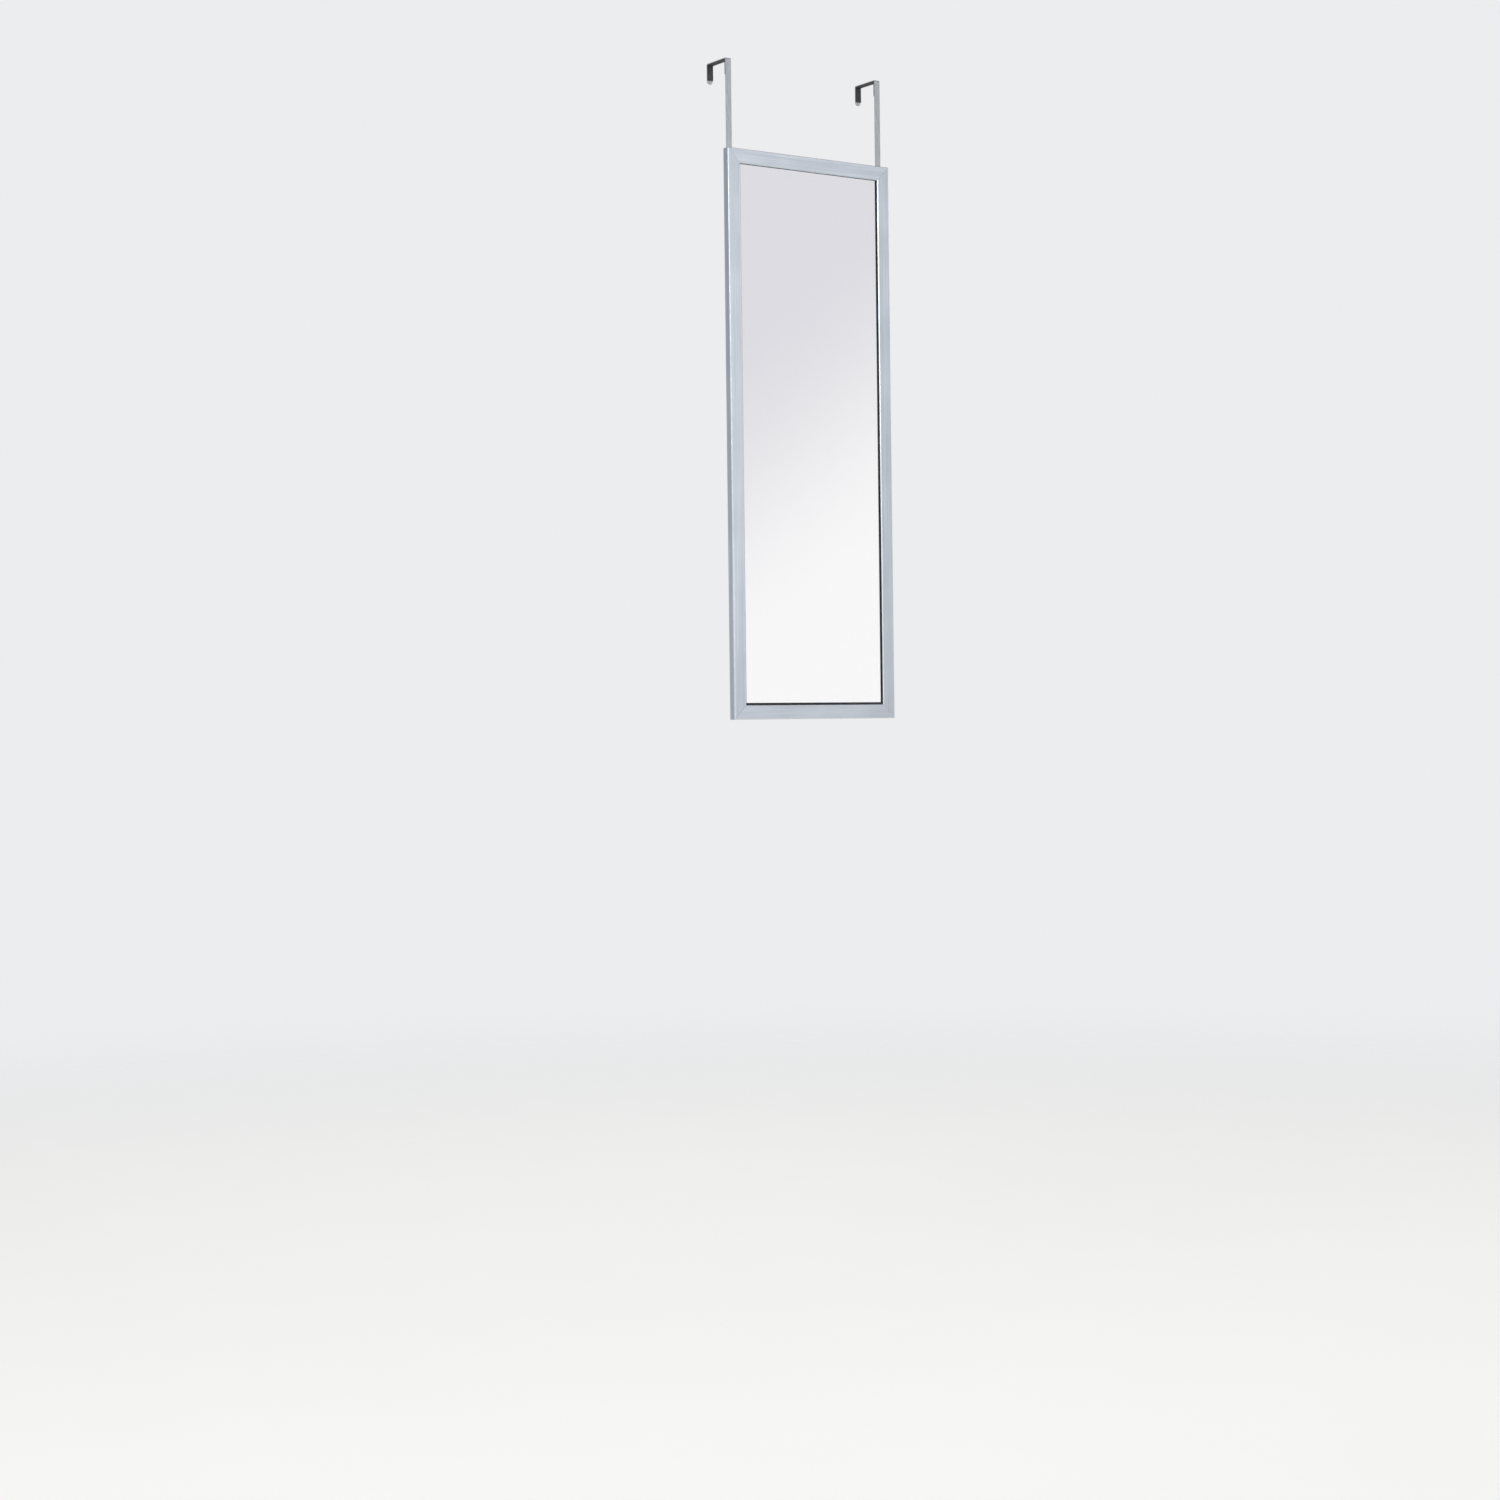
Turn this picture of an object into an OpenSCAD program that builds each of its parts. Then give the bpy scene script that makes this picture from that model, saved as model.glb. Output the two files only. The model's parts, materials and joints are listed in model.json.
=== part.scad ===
// Over the door mirror: a framed mirror that hangs from two steel hooks on a door's top edge.
// Millimetres, +Z up. The mirror faces -Y. The door leaf's front face is the plane y = 0 and its
// top edge is z = 0, so the origin is on the door's front top edge, midway between the hooks.

/* [Frame] */
// Width of the frame over its outer edges
frame_w = 300; // [240:1:400]
// Height of the frame over its outer edges
frame_h = 850; // [700:1:1300]
// Face width of a rail, from its outer edge to the sight edge
rail_w = 22; // [20:0.5:30]
// Depth of a rail from front face to back face
rail_d = 12.5; // [12.2:0.1:16]
// Thickness of the front lip that covers the edge of the glass
lip_t = 2.4; // [2.2:0.1:3.2]
// Width of the rebate behind the lip
rebate_w = 6; // [5:0.5:7]
// Radius of the outer front arris
arris_r = 1.5; // [0.5:0.1:2]
// Width of the bevel along the sight edge
sight_bevel = 1.2; // [0.5:0.1:2]

/* [Glass and back] */
// Thickness of the glazing tape between lip and glass
tape_t = 0.5; // [0.4:0.1:1]
// How far the tape shows past the sight edge at the top
tape_show_top = 0; // [0:0.1:1]
// How far the tape shows past the sight edge at the sides
tape_show_side = 1.2; // [0:0.1:2]
// How far the tape shows past the sight edge at the bottom
tape_show_bottom = 2.9; // [0:0.1:3]
// Thickness of the glass
glass_t = 2; // [2:1:3]
// Thickness of the silver and its back paint
coating_t = 0.1; // [0.05:0.05:0.1]
// Thickness of the anti-shatter film
film_t = 0.2; // [0.1:0.1:0.2]
// Thickness of the foam sheet
foam_t = 1; // [0.5:0.1:1]
// Thickness of the backing board
board_t = 2.5; // [2:0.1:2.5]
// Gap between the glass and board edges and the rebate
edge_gap = 0.5; // [0.3:0.1:1]

/* [Hangers] */
// Distance from the door's top edge down to the frame's top edge
drop = 133; // [110:1:200]
// Thickest door leaf that the hooks take
door_t = 45; // [35:1:50]
// Width of a strap
strap_w = 10; // [8:0.5:10]
// Thickness of a strap
strap_t = 1.2; // [1:0.1:1.5]
// Distance from the frame's outer side to a strap's centre line
strap_inset = 11; // [9:0.5:11]
// Thickness of the foam liner inside a hook
liner_t = 1.5; // [1.4:0.1:2]
// Length of a hook's leg behind the door
hook_leg = 28; // [20:1:40]
// Distance between the two screws of a strap
screw_pitch = 40; // [30:1:50]
// Travel of a strap in its slot, each way
strap_travel = 25; // [15:1:25]

/* [Hidden] */
$fn = 48;

left = -1;
right = 1;
tiny = 0.01;

// Where the frame stands off the door
slide_gap = 0.2;
back_y = -(liner_t + strap_t + slide_gap);
front_y = back_y - rail_d;
top_z = -drop;
bottom_z = top_z - frame_h;
centre_z = (top_z + bottom_z) / 2;
body_w = rail_w - rebate_w;

// The layers in the rebate, from the lip backwards
tape_y = front_y + lip_t;
glass_y = tape_y + tape_t;
coating_y = glass_y + glass_t;
film_y = coating_y + coating_t;
foam_y = film_y + film_t;
board_y = foam_y + foam_t;
point_y = board_y + board_t;
pane_w = frame_w - 2 * (body_w + edge_gap);
pane_h = frame_h - 2 * (body_w + edge_gap);

// Flat steel points that hold the board in
point_t = 0.6;
point_w = 6;
point_bite = 7;
point_reach = 7;
stile_points = [-300, -100, 100, 300];
rail_points = [-60, 60];

// V nails across the mitres
nail_t = 0.6;
nail_wing = 6;
nail_depth = 7;
nail_places = [4.5, 10.5];

// Straps, slots and screws
strap_x = frame_w / 2 - strap_inset;
strap_face_y = -liner_t;
bend_r = 1;
shank_r = 1.75;
slot_r = shank_r + 0.3;
slot_half = screw_pitch / 2 + strap_travel + slot_r;
slot_cover = 5;
slot_z = top_z - slot_cover - strap_travel - slot_half;
strap_end = 8;
strap_bottom_z = slot_z - slot_half - strap_end;
head_r = 4;
head_t = 1.2;
head_gap = 0.15;
head_y = strap_face_y + head_gap;
shank_len = 9;
tip_len = 2.5;
pilot_r = 1.4;
pilot_depth = 9;
recess_w = 0.9;
recess_len = 4;
recess_depth = 0.7;
liner_leg = hook_leg - strap_w / 2 - 1;

// Rubber pads at the lower corners
bumper_r = 5;
bumper_bevel = 1;
bumper_rise = 15;

// The moulding's section: x runs inwards from the outer edge, y runs back from the front face
module moulding_section() {
    difference() {
        square([rail_w, rail_d]);
        square([arris_r, arris_r]);
        polygon([[rail_w - sight_bevel, 0], [rail_w, sight_bevel], [rail_w + 1, -1]]);
        translate([body_w, lip_t]) square([rebate_w + 1, rail_d]);
    }
    intersection() {
        translate([arris_r, arris_r]) circle(r = arris_r);
        square([arris_r, arris_r]);
    }
}

// A length of moulding on the X axis with its outer edge at z = 0, mitred at both ends
module mitred_rail(length) {
    intersection() {
        translate([-length / 2, front_y, 0])
            rotate([0, 90, 0])
                linear_extrude(length) moulding_section();
        rotate([90, 0, 0])
            linear_extrude(1 - front_y)
                polygon([
                    [-length / 2, 0], [length / 2, 0],
                    [length / 2 - rail_w, -rail_w], [rail_w - length / 2, -rail_w]
                ]);
    }
}

// One V nail with its apex on the mitre of the frame's top left corner
module v_nail(place) {
    translate([place, back_y, -place])
        rotate([90, 0, 0])
            linear_extrude(nail_depth)
                polygon([
                    [0, 0], [nail_wing, 0], [nail_wing, -nail_t],
                    [nail_t, -nail_t], [nail_t, -nail_wing], [0, -nail_wing]
                ]);
}

// Puts what is drawn for the top left corner into one of the four corners
module at_corner(side, end) {
    translate([side * frame_w / 2, 0, centre_z + end * frame_h / 2])
        mirror([side == right ? 1 : 0, 0, 0])
            mirror([0, 0, end == 1 ? 0 : 1])
                children();
}

module corner_v_nails() {
    color("lightgray")
    for (side = [left, right], end = [1, -1])
        at_corner(side, end)
            for (place = nail_places) v_nail(place);
}

// One retaining point, driven along +X into a rebate wall that stands at x = 0
module retaining_point() {
    translate([-point_reach, point_y, -point_w / 2])
        cube([point_reach + point_bite, point_t, point_w]);
}

module retaining_points() {
    color("silver") {
        for (side = [left, right], z = stile_points)
            translate([side * (frame_w / 2 - body_w), 0, centre_z + z])
                mirror([side == left ? 1 : 0, 0, 0])
                    retaining_point();
        for (end = [1, -1], x = rail_points)
            translate([x, 0, centre_z + end * (frame_h / 2 - body_w)])
                rotate([0, -90 * end, 0])
                    retaining_point();
    }
}

module frame_top_rail() {
    color("silver")
    difference() {
        translate([0, 0, top_z]) mitred_rail(frame_w);
        corner_v_nails();
        retaining_points();
    }
}

module frame_bottom_rail() {
    color("silver")
    difference() {
        translate([0, 0, bottom_z]) mirror([0, 0, 1]) mitred_rail(frame_w);
        corner_v_nails();
        retaining_points();
    }
}

// A stile with the pilot holes for its strap's screws
module stile(side) {
    difference() {
        translate([side * frame_w / 2, 0, centre_z])
            rotate([0, side * 90, 0])
                mitred_rail(frame_h);
        corner_v_nails();
        retaining_points();
        for (z = [-1, 1] * screw_pitch / 2)
            translate([side * strap_x, back_y + tiny, slot_z + z])
                rotate([90, 0, 0])
                    cylinder(r = pilot_r, h = pilot_depth);
    }
}

module frame_left_stile() { color("silver") stile(left); }
module frame_right_stile() { color("silver") stile(right); }

// A flat layer that fills the rebate
module layer(y, thickness) {
    translate([-pane_w / 2, y, centre_z - pane_h / 2])
        cube([pane_w, thickness, pane_h]);
}

module mirror_glass() { color("azure") layer(glass_y, glass_t); }
module silver_coating() { color("gainsboro") layer(coating_y, coating_t); }
module safety_film() { color("slategray") layer(film_y, film_t); }
module foam_sheet() { color("white") layer(foam_y, foam_t); }
module backing_board() { color("peru") layer(board_y, board_t); }

// Glazing tape across the frame, from the pane's edge to a little past the sight edge
module tape_across(end, show) {
    width = rebate_w - edge_gap + show;
    translate([-pane_w / 2, tape_y, centre_z + end * (pane_h - width) / 2 - width / 2])
        cube([pane_w, tape_t, width]);
}

// Glazing tape up one side, butted between the tapes across
module tape_upright(side) {
    width = rebate_w - edge_gap + tape_show_side;
    low = centre_z - pane_h / 2 + rebate_w - edge_gap + tape_show_bottom;
    high = centre_z + pane_h / 2 - rebate_w + edge_gap - tape_show_top;
    translate([side * (pane_w - width) / 2 - width / 2, tape_y, low])
        cube([width, tape_t, high - low]);
}

module glazing_tape_top() { color("dimgray") tape_across(1, tape_show_top); }
module glazing_tape_bottom() { color("dimgray") tape_across(-1, tape_show_bottom); }
module glazing_tape_left() { color("dimgray") tape_upright(left); }
module glazing_tape_right() { color("dimgray") tape_upright(right); }

// A flat bar in the XZ plane, round at its lower end, from z = high down to z = low
module round_ended_bar(width, low, high) {
    translate([0, low + width / 2]) circle(d = width);
    translate([-width / 2, low + width / 2]) square([width, high - low - width / 2]);
}

// A quarter ring in the first quadrant, for a bend in sheet
module quarter_bend(inner_r, outer_r) {
    intersection() {
        difference() {
            circle(r = outer_r);
            circle(r = inner_r);
        }
        square([outer_r, outer_r]);
    }
}

// The bent part of a hook seen from its side: bends at both door edges and the bridge between
module hook_bridge_section(inner_t, wall_t) {
    near = bend_r - inner_t;
    far = door_t + inner_t - bend_r;
    level = inner_t - bend_r;
    translate([near, level]) mirror([1, 0]) quarter_bend(bend_r, bend_r + wall_t);
    translate([far, level]) quarter_bend(bend_r, bend_r + wall_t);
    translate([near, inner_t]) square([far - near, wall_t]);
}

// Draws a section of Y and Z values as a solid of the given width about x = 0
module across_x(width) {
    translate([-width / 2, 0, 0])
        rotate([90, 0, 90])
            linear_extrude(width) children();
}

// A strap at x = 0: long leg behind the stile, bridge over the door, short leg behind the door
module hanger_strap() {
    leg_top = liner_t - bend_r;
    across_x(strap_w) hook_bridge_section(liner_t, strap_t);
    translate([0, strap_face_y, 0])
        rotate([90, 0, 0])
            linear_extrude(strap_t)
                difference() {
                    round_ended_bar(strap_w, strap_bottom_z, leg_top);
                    translate([0, slot_z + slot_half - slot_r]) circle(r = slot_r);
                    translate([0, slot_z - slot_half + slot_r]) circle(r = slot_r);
                    translate([-slot_r, slot_z - slot_half + slot_r])
                        square([2 * slot_r, 2 * (slot_half - slot_r)]);
                }
    translate([0, door_t + liner_t + strap_t, 0])
        rotate([90, 0, 0])
            linear_extrude(strap_t)
                round_ended_bar(strap_w, -hook_leg, leg_top);
}

module left_hanger_strap() { color("darkgray") translate([-strap_x, 0, 0]) hanger_strap(); }
module right_hanger_strap() { color("darkgray") translate([strap_x, 0, 0]) hanger_strap(); }

// The foam strip that lines a hook at x = 0, bent to the strap's inside and square to the door
module hook_liner() {
    across_x(strap_w)
    difference() {
        union() {
            translate([bend_r - liner_t, 0])
                square([door_t + 2 * (liner_t - bend_r), liner_t]);
            translate([-liner_t, -liner_leg])
                square([door_t + 2 * liner_t, liner_leg + liner_t - bend_r]);
            for (y = [bend_r - liner_t, door_t + liner_t - bend_r])
                translate([y, liner_t - bend_r]) circle(r = bend_r);
        }
        translate([0, -liner_leg - 1]) square([door_t, liner_leg + 1]);
    }
}

module left_hook_liner() { color("black") translate([-strap_x, 0, 0]) hook_liner(); }
module right_hook_liner() { color("black") translate([strap_x, 0, 0]) hook_liner(); }

// A low-head screw at the origin that points along -Y, with a cross recess in its head
module strap_screw() {
    rotate([90, 0, 0]) {
        difference() {
            translate([0, 0, -head_t]) cylinder(r = head_r, h = head_t);
            for (turn = [0, 90])
                rotate([0, 0, turn])
                    translate([-recess_len / 2, -recess_w / 2, -head_t - tiny])
                        cube([recess_len, recess_w, recess_depth + tiny]);
        }
        cylinder(r = shank_r, h = shank_len - tip_len);
        translate([0, 0, shank_len - tip_len])
            cylinder(r1 = shank_r, r2 = 0.3, h = tip_len);
    }
}

module strap_screws(side) {
    for (z = [-1, 1] * screw_pitch / 2)
        translate([side * strap_x, head_y, slot_z + z])
            strap_screw();
}

module left_strap_screws() { color("gray") strap_screws(left); }
module right_strap_screws() { color("gray") strap_screws(right); }

// A rubber pad between the frame's back and the door, at one lower corner
module bumper(side) {
    translate([side * strap_x, back_y, bottom_z + bumper_rise])
        rotate([-90, 0, 0]) {
            cylinder(r = bumper_r, h = -back_y - bumper_bevel);
            translate([0, 0, -back_y - bumper_bevel])
                cylinder(r1 = bumper_r, r2 = bumper_r - bumper_bevel, h = bumper_bevel);
        }
}

module lower_left_bumper() { color("dimgray") bumper(left); }
module lower_right_bumper() { color("dimgray") bumper(right); }

frame_top_rail();
frame_bottom_rail();
frame_left_stile();
frame_right_stile();
corner_v_nails();
glazing_tape_top();
glazing_tape_bottom();
glazing_tape_left();
glazing_tape_right();
mirror_glass();
silver_coating();
safety_film();
foam_sheet();
backing_board();
retaining_points();
left_hanger_strap();
right_hanger_strap();
left_hook_liner();
right_hook_liner();
left_strap_screws();
right_strap_screws();
lower_left_bumper();
lower_right_bumper();
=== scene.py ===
"""Looks of an over the door mirror, dressed around its packed construction model.

Pieces are modelled in millimetres, in the frame of the construction model, and become metres when
they are put into the scene. The mirror faces -Y and hangs from the door's top edge at the origin.
"""
import json
import logging
import math
from dataclasses import dataclass
from enum import Enum
from typing import Any, Iterator, NamedTuple, Sequence

import bmesh
import bpy
from mathutils import Matrix, Vector


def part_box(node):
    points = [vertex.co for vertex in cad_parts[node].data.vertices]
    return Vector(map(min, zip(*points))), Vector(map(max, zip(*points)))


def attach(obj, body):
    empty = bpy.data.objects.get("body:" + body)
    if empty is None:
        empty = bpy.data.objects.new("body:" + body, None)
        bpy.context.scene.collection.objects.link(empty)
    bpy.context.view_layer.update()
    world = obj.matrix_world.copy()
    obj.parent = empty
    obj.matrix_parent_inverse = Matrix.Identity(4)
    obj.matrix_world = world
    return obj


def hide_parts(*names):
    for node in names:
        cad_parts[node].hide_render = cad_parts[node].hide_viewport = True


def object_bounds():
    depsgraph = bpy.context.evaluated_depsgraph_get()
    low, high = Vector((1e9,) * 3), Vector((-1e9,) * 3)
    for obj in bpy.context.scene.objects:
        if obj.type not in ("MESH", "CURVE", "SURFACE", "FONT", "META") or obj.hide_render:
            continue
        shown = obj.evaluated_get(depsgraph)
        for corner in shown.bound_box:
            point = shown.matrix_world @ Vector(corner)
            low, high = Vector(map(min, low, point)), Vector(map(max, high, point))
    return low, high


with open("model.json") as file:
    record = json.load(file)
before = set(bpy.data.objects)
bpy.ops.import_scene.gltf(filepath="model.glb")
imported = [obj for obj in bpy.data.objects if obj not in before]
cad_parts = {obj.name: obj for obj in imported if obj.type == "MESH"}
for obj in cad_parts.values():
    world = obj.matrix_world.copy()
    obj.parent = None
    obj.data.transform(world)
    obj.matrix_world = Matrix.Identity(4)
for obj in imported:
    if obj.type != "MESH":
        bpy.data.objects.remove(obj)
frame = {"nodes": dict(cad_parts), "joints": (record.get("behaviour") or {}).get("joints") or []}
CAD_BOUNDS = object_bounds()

LOG = logging.getLogger("door_mirror")
MM = 0.001
FRAME_BODY = "mirror_frame"
WEAR = "edge_wear"
STRIP_MAP = "strip"
SMOOTH_ANGLE = math.radians(32)
WELD_DISTANCE = 5e-6
LEVEL_TOLERANCE = 1e-6
CUT_TOLERANCE = 1e-5
FOIL_COAT = 0
BARE_COAT = 1
DEGREES = 180 / math.pi
Z_TO_Y = Matrix.Rotation(math.radians(-90), 4, "X")

Point = tuple[float, float]
Colour = tuple[float, float, float, float]
BLACK: Colour = (0, 0, 0, 1)
WHITE: Colour = (1, 1, 1, 1)


# Node trees


class Tone(NamedTuple):
    """A display colour, with each channel from 0 to 255."""

    red: int
    green: int
    blue: int

    def raised(self, gain: int) -> "Tone":
        """The same tone with every channel raised."""
        return Tone(*(channel + gain for channel in self))

    def linear(self) -> Colour:
        """The tone as shaders take it.

        Returns:
            Its linear red, green and blue, and 1 for its alpha.
        """
        light = []
        for channel in self:
            level = channel / 255
            light.append(level / 12.92 if level <= 0.04045 else ((level + 0.055) / 1.055) ** 2.4)
        return *light, 1.0


class Value:
    """A number that varies inside a node tree, held as the socket that carries it."""

    def __init__(self, tree: bpy.types.NodeTree, socket: bpy.types.NodeSocket) -> None:
        """Keeps the tree and the socket."""
        self.tree = tree
        self.socket = socket

    def _math(self, operation: str, *terms: "Value | float") -> "Value":
        """Adds one Math node.

        Args:
            operation: The Math node's operation.
            terms: Its inputs in order, as values of this tree or plain numbers.

        Returns:
            The node's result.
        """
        node = self.tree.nodes.new("ShaderNodeMath")
        node.operation = operation
        for socket, term in zip(node.inputs, terms):
            if isinstance(term, Value):
                self.tree.links.new(term.socket, socket)
            else:
                socket.default_value = term
        return Value(self.tree, node.outputs[0])

    def __add__(self, other: "Value | float") -> "Value":
        """This value plus another."""
        return self._math("ADD", self, other)

    def __sub__(self, other: "Value | float") -> "Value":
        """This value minus another."""
        return self._math("SUBTRACT", self, other)

    def __rsub__(self, other: float) -> "Value":
        """A number minus this value."""
        return self._math("SUBTRACT", other, self)

    def __mul__(self, other: "Value | float") -> "Value":
        """This value times another."""
        return self._math("MULTIPLY", self, other)

    def __pow__(self, other: "Value | float") -> "Value":
        """This value to a power."""
        return self._math("POWER", self, other)

    __radd__ = __add__
    __rmul__ = __mul__

    def most(self, other: "Value | float") -> "Value":
        """The larger of this value and another."""
        return self._math("MAXIMUM", self, other)

    def angle_from(self, other: "Value") -> "Value":
        """The angle whose tangent is this value over another, in radians."""
        return self._math("ARCTAN2", self, other)

    def arcsine(self) -> "Value":
        """The angle whose sine is this value, in radians."""
        return self._math("ARCSINE", self)

    def sine(self) -> "Value":
        """The sine of this value, which is in radians."""
        return self._math("SINE", self)

    def smooth(self, low: float, high: float) -> "Value":
        """Eases this value from 0 at low to 1 at high.

        Args:
            low: Where the result is 0.
            high: Where the result is 1; it may be below low.

        Returns:
            The eased value.
        """
        node = self.tree.nodes.new("ShaderNodeMapRange")
        node.interpolation_type = "SMOOTHSTEP"
        node.inputs["From Min"].default_value = min(low, high)
        node.inputs["From Max"].default_value = max(low, high)
        self.tree.links.new(self.socket, node.inputs["Value"])
        eased = Value(self.tree, node.outputs[0])
        return 1 - eased if high < low else eased


class NodeWriter:
    """Writes the nodes of one tree."""

    def __init__(self, tree: bpy.types.NodeTree) -> None:
        """Empties the tree and keeps it."""
        tree.nodes.clear()
        self.tree = tree

    @staticmethod
    def find(sockets: Any, key: str | int) -> bpy.types.NodeSocket:
        """Finds one of a node's sockets.

        Args:
            sockets: The node's inputs or outputs.
            key: The socket's identifier, name or place.

        Returns:
            The socket.
        """
        for socket in sockets:
            if socket.identifier == key:
                return socket
        return sockets[key]

    def node(
        self,
        kind: str,
        settings: dict[str, Any] | None = None,
        inputs: dict[str | int, Any] | None = None,
    ) -> bpy.types.Node:
        """Adds a node.

        Args:
            kind: The node's type.
            settings: Its own settings, set first.
            inputs: What each of its sockets gets: a value, a socket to link, a tone or plain data.

        Returns:
            The node.
        """
        made = self.tree.nodes.new(kind)
        for name, setting in (settings or {}).items():
            setattr(made, name, setting)
        for key, given in (inputs or {}).items():
            socket = self.find(made.inputs, key)
            if isinstance(given, Value):
                self.tree.links.new(given.socket, socket)
            elif isinstance(given, bpy.types.NodeSocket):
                self.tree.links.new(given, socket)
            else:
                socket.default_value = given.linear() if isinstance(given, Tone) else given
        return made

    def value(self, node: bpy.types.Node, key: str | int = 0) -> Value:
        """One output of a node as a value."""
        return Value(self.tree, self.find(node.outputs, key))


class Shader(NodeWriter):
    """The tree of a material, a lamp or the world."""

    def place(self, stretch: Sequence[float] = (1, 1, 1)) -> bpy.types.NodeSocket:
        """Object coordinates, with each axis multiplied by its stretch."""
        return self.stretched(self.node("ShaderNodeTexCoord").outputs["Object"], stretch)

    def stretched(self, where: bpy.types.NodeSocket, stretch: Sequence[float]) -> bpy.types.NodeSocket:
        """Coordinates with each axis multiplied by its stretch."""
        inputs = {"Vector": where, "Scale": tuple(stretch)}
        return self.node("ShaderNodeMapping", None, inputs).outputs[0]

    def wear(self) -> Value:
        """How rubbed or soiled each point is, as the piece's mesh says."""
        return self.value(self.node("ShaderNodeAttribute", {"attribute_name": WEAR}), "Fac")

    def parts(self, vector: bpy.types.NodeSocket) -> tuple[Value, Value, Value]:
        """The three components of a vector."""
        split = self.node("ShaderNodeSeparateXYZ", None, {"Vector": vector})
        return self.value(split, 0), self.value(split, 1), self.value(split, 2)

    def noise(
        self, where: bpy.types.NodeSocket, scale: float, detail: float = 2, rough: float = 0.5
    ) -> Value:
        """Soft noise from 0 to 1 at a scale in features for each metre."""
        inputs = {"Vector": where, "Scale": scale, "Detail": detail, "Roughness": rough}
        return self.value(self.node("ShaderNodeTexNoise", None, inputs))

    def cells(self, where: bpy.types.NodeSocket, scale: float) -> Value:
        """Distance to the nearest cell point, for foam and grain."""
        return self.value(self.node("ShaderNodeTexVoronoi", None, {"Vector": where, "Scale": scale}))

    def mix(self, share: Value | float, first: Any, second: Any) -> bpy.types.NodeSocket:
        """Blends two colours.

        Args:
            share: How much of the second colour there is, from 0 to 1.
            first: The first colour, as a tone, linear numbers or a socket.
            second: The second colour.

        Returns:
            The blended colour's socket.
        """
        inputs = {"Factor_Float": share, "A_Color": first, "B_Color": second}
        made = self.node("ShaderNodeMix", {"data_type": "RGBA"}, inputs)
        return self.find(made.outputs, "Result_Color")

    def relief(self, height: Value, depth_mm: float, strength: float) -> bpy.types.NodeSocket:
        """A Bump node's normal for a height from 0 to 1 that stands for a depth in millimetres."""
        inputs = {"Strength": strength, "Distance": depth_mm * MM, "Height": height}
        return self.node("ShaderNodeBump", None, inputs).outputs["Normal"]

    def surface(self, **inputs: Any) -> None:
        """Ends a material in a Principled shader; underscores in its inputs' names are spaces."""
        named = {name.replace("_", " "): given for name, given in inputs.items()}
        self.end("ShaderNodeOutputMaterial", self.node("ShaderNodeBsdfPrincipled", None, named))

    def end(self, output: str, last: bpy.types.Node) -> None:
        """Ends the tree in its output node of this type."""
        self.node(output, None, {"Surface": last.outputs[0]})


# Finishes


class Grain(Enum):
    """The way a brushed or rolled finish runs."""

    ACROSS = "x"
    UPRIGHT = "z"

    def stretch(self, along: float, across: float) -> tuple[float, float, float]:
        """Noise scales for X, Y and Z, from the features in a metre along and across the grain."""
        return (along, across, across) if self is Grain.ACROSS else (across, across, along)


@dataclass(frozen=True)
class Finish:
    """A finish that can make its material."""

    name: str

    def material(self) -> bpy.types.Material:
        """Gives the finish's material, which is made once and then reused.

        Returns:
            The material.
        """
        title = f"{self.name}_finish"
        made = bpy.data.materials.get(title)
        if made is None:
            made = bpy.data.materials.new(title)
            made.use_nodes = True
            self.write(Shader(made.node_tree))
        return made

    def write(self, shader: Shader) -> None:
        """Writes the finish into an empty tree."""
        raise NotImplementedError


@dataclass(frozen=True)
class BrushedFoil(Finish):
    """Brushed silver foil over the moulding; on rails brushed across, the colour is raised as painted
    sheen for the light they catch.
    """

    grain: Grain
    light: Tone = Tone(197, 203, 210)
    dark: Tone = Tone(170, 178, 186)
    rubbed: Tone = Tone(234, 237, 240)
    # Painted sheen: how many levels lighter the rails brushed across are painted.
    painted_sheen_across: int = 5

    def write(self, shader: Shader) -> None:
        """Writes fine scratches, broad streaks, cloudy sheen, rubbed arrises, and painted sheen on rails
        brushed across.

        Args:
            shader: The empty tree.
        """
        hairs = shader.noise(shader.place(self.grain.stretch(14, 3400)), 1, detail=2, rough=0.6)
        streaks = shader.noise(shader.place(self.grain.stretch(5, 620)), 1, detail=3, rough=0.55)
        clouds = shader.noise(shader.place(), 16)
        flecks = shader.noise(shader.place(self.grain.stretch(160, 1500)), 1, detail=3)
        worn = shader.wear() * (0.35 + 0.65 * flecks.smooth(0.4, 0.72))
        shade = (hairs * 0.45 + streaks * 0.75 + clouds * 0.3 - 0.25).smooth(0.2, 0.85)
        # Painted sheen: rails brushed across get their colour raised, standing for the light they catch.
        gain = self.painted_sheen_across if self.grain is Grain.ACROSS else 0
        silver = shader.mix(shade, self.dark.raised(gain), self.light.raised(gain))
        shader.surface(
            Base_Color=shader.mix(worn * 0.55, silver, self.rubbed),
            Metallic=1.0,
            Roughness=0.27 + 0.12 * hairs + 0.06 * clouds - 0.06 * worn,
            Normal=shader.relief(hairs * 0.6 + streaks * 0.4, depth_mm=0.02, strength=0.35),
        )


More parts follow.
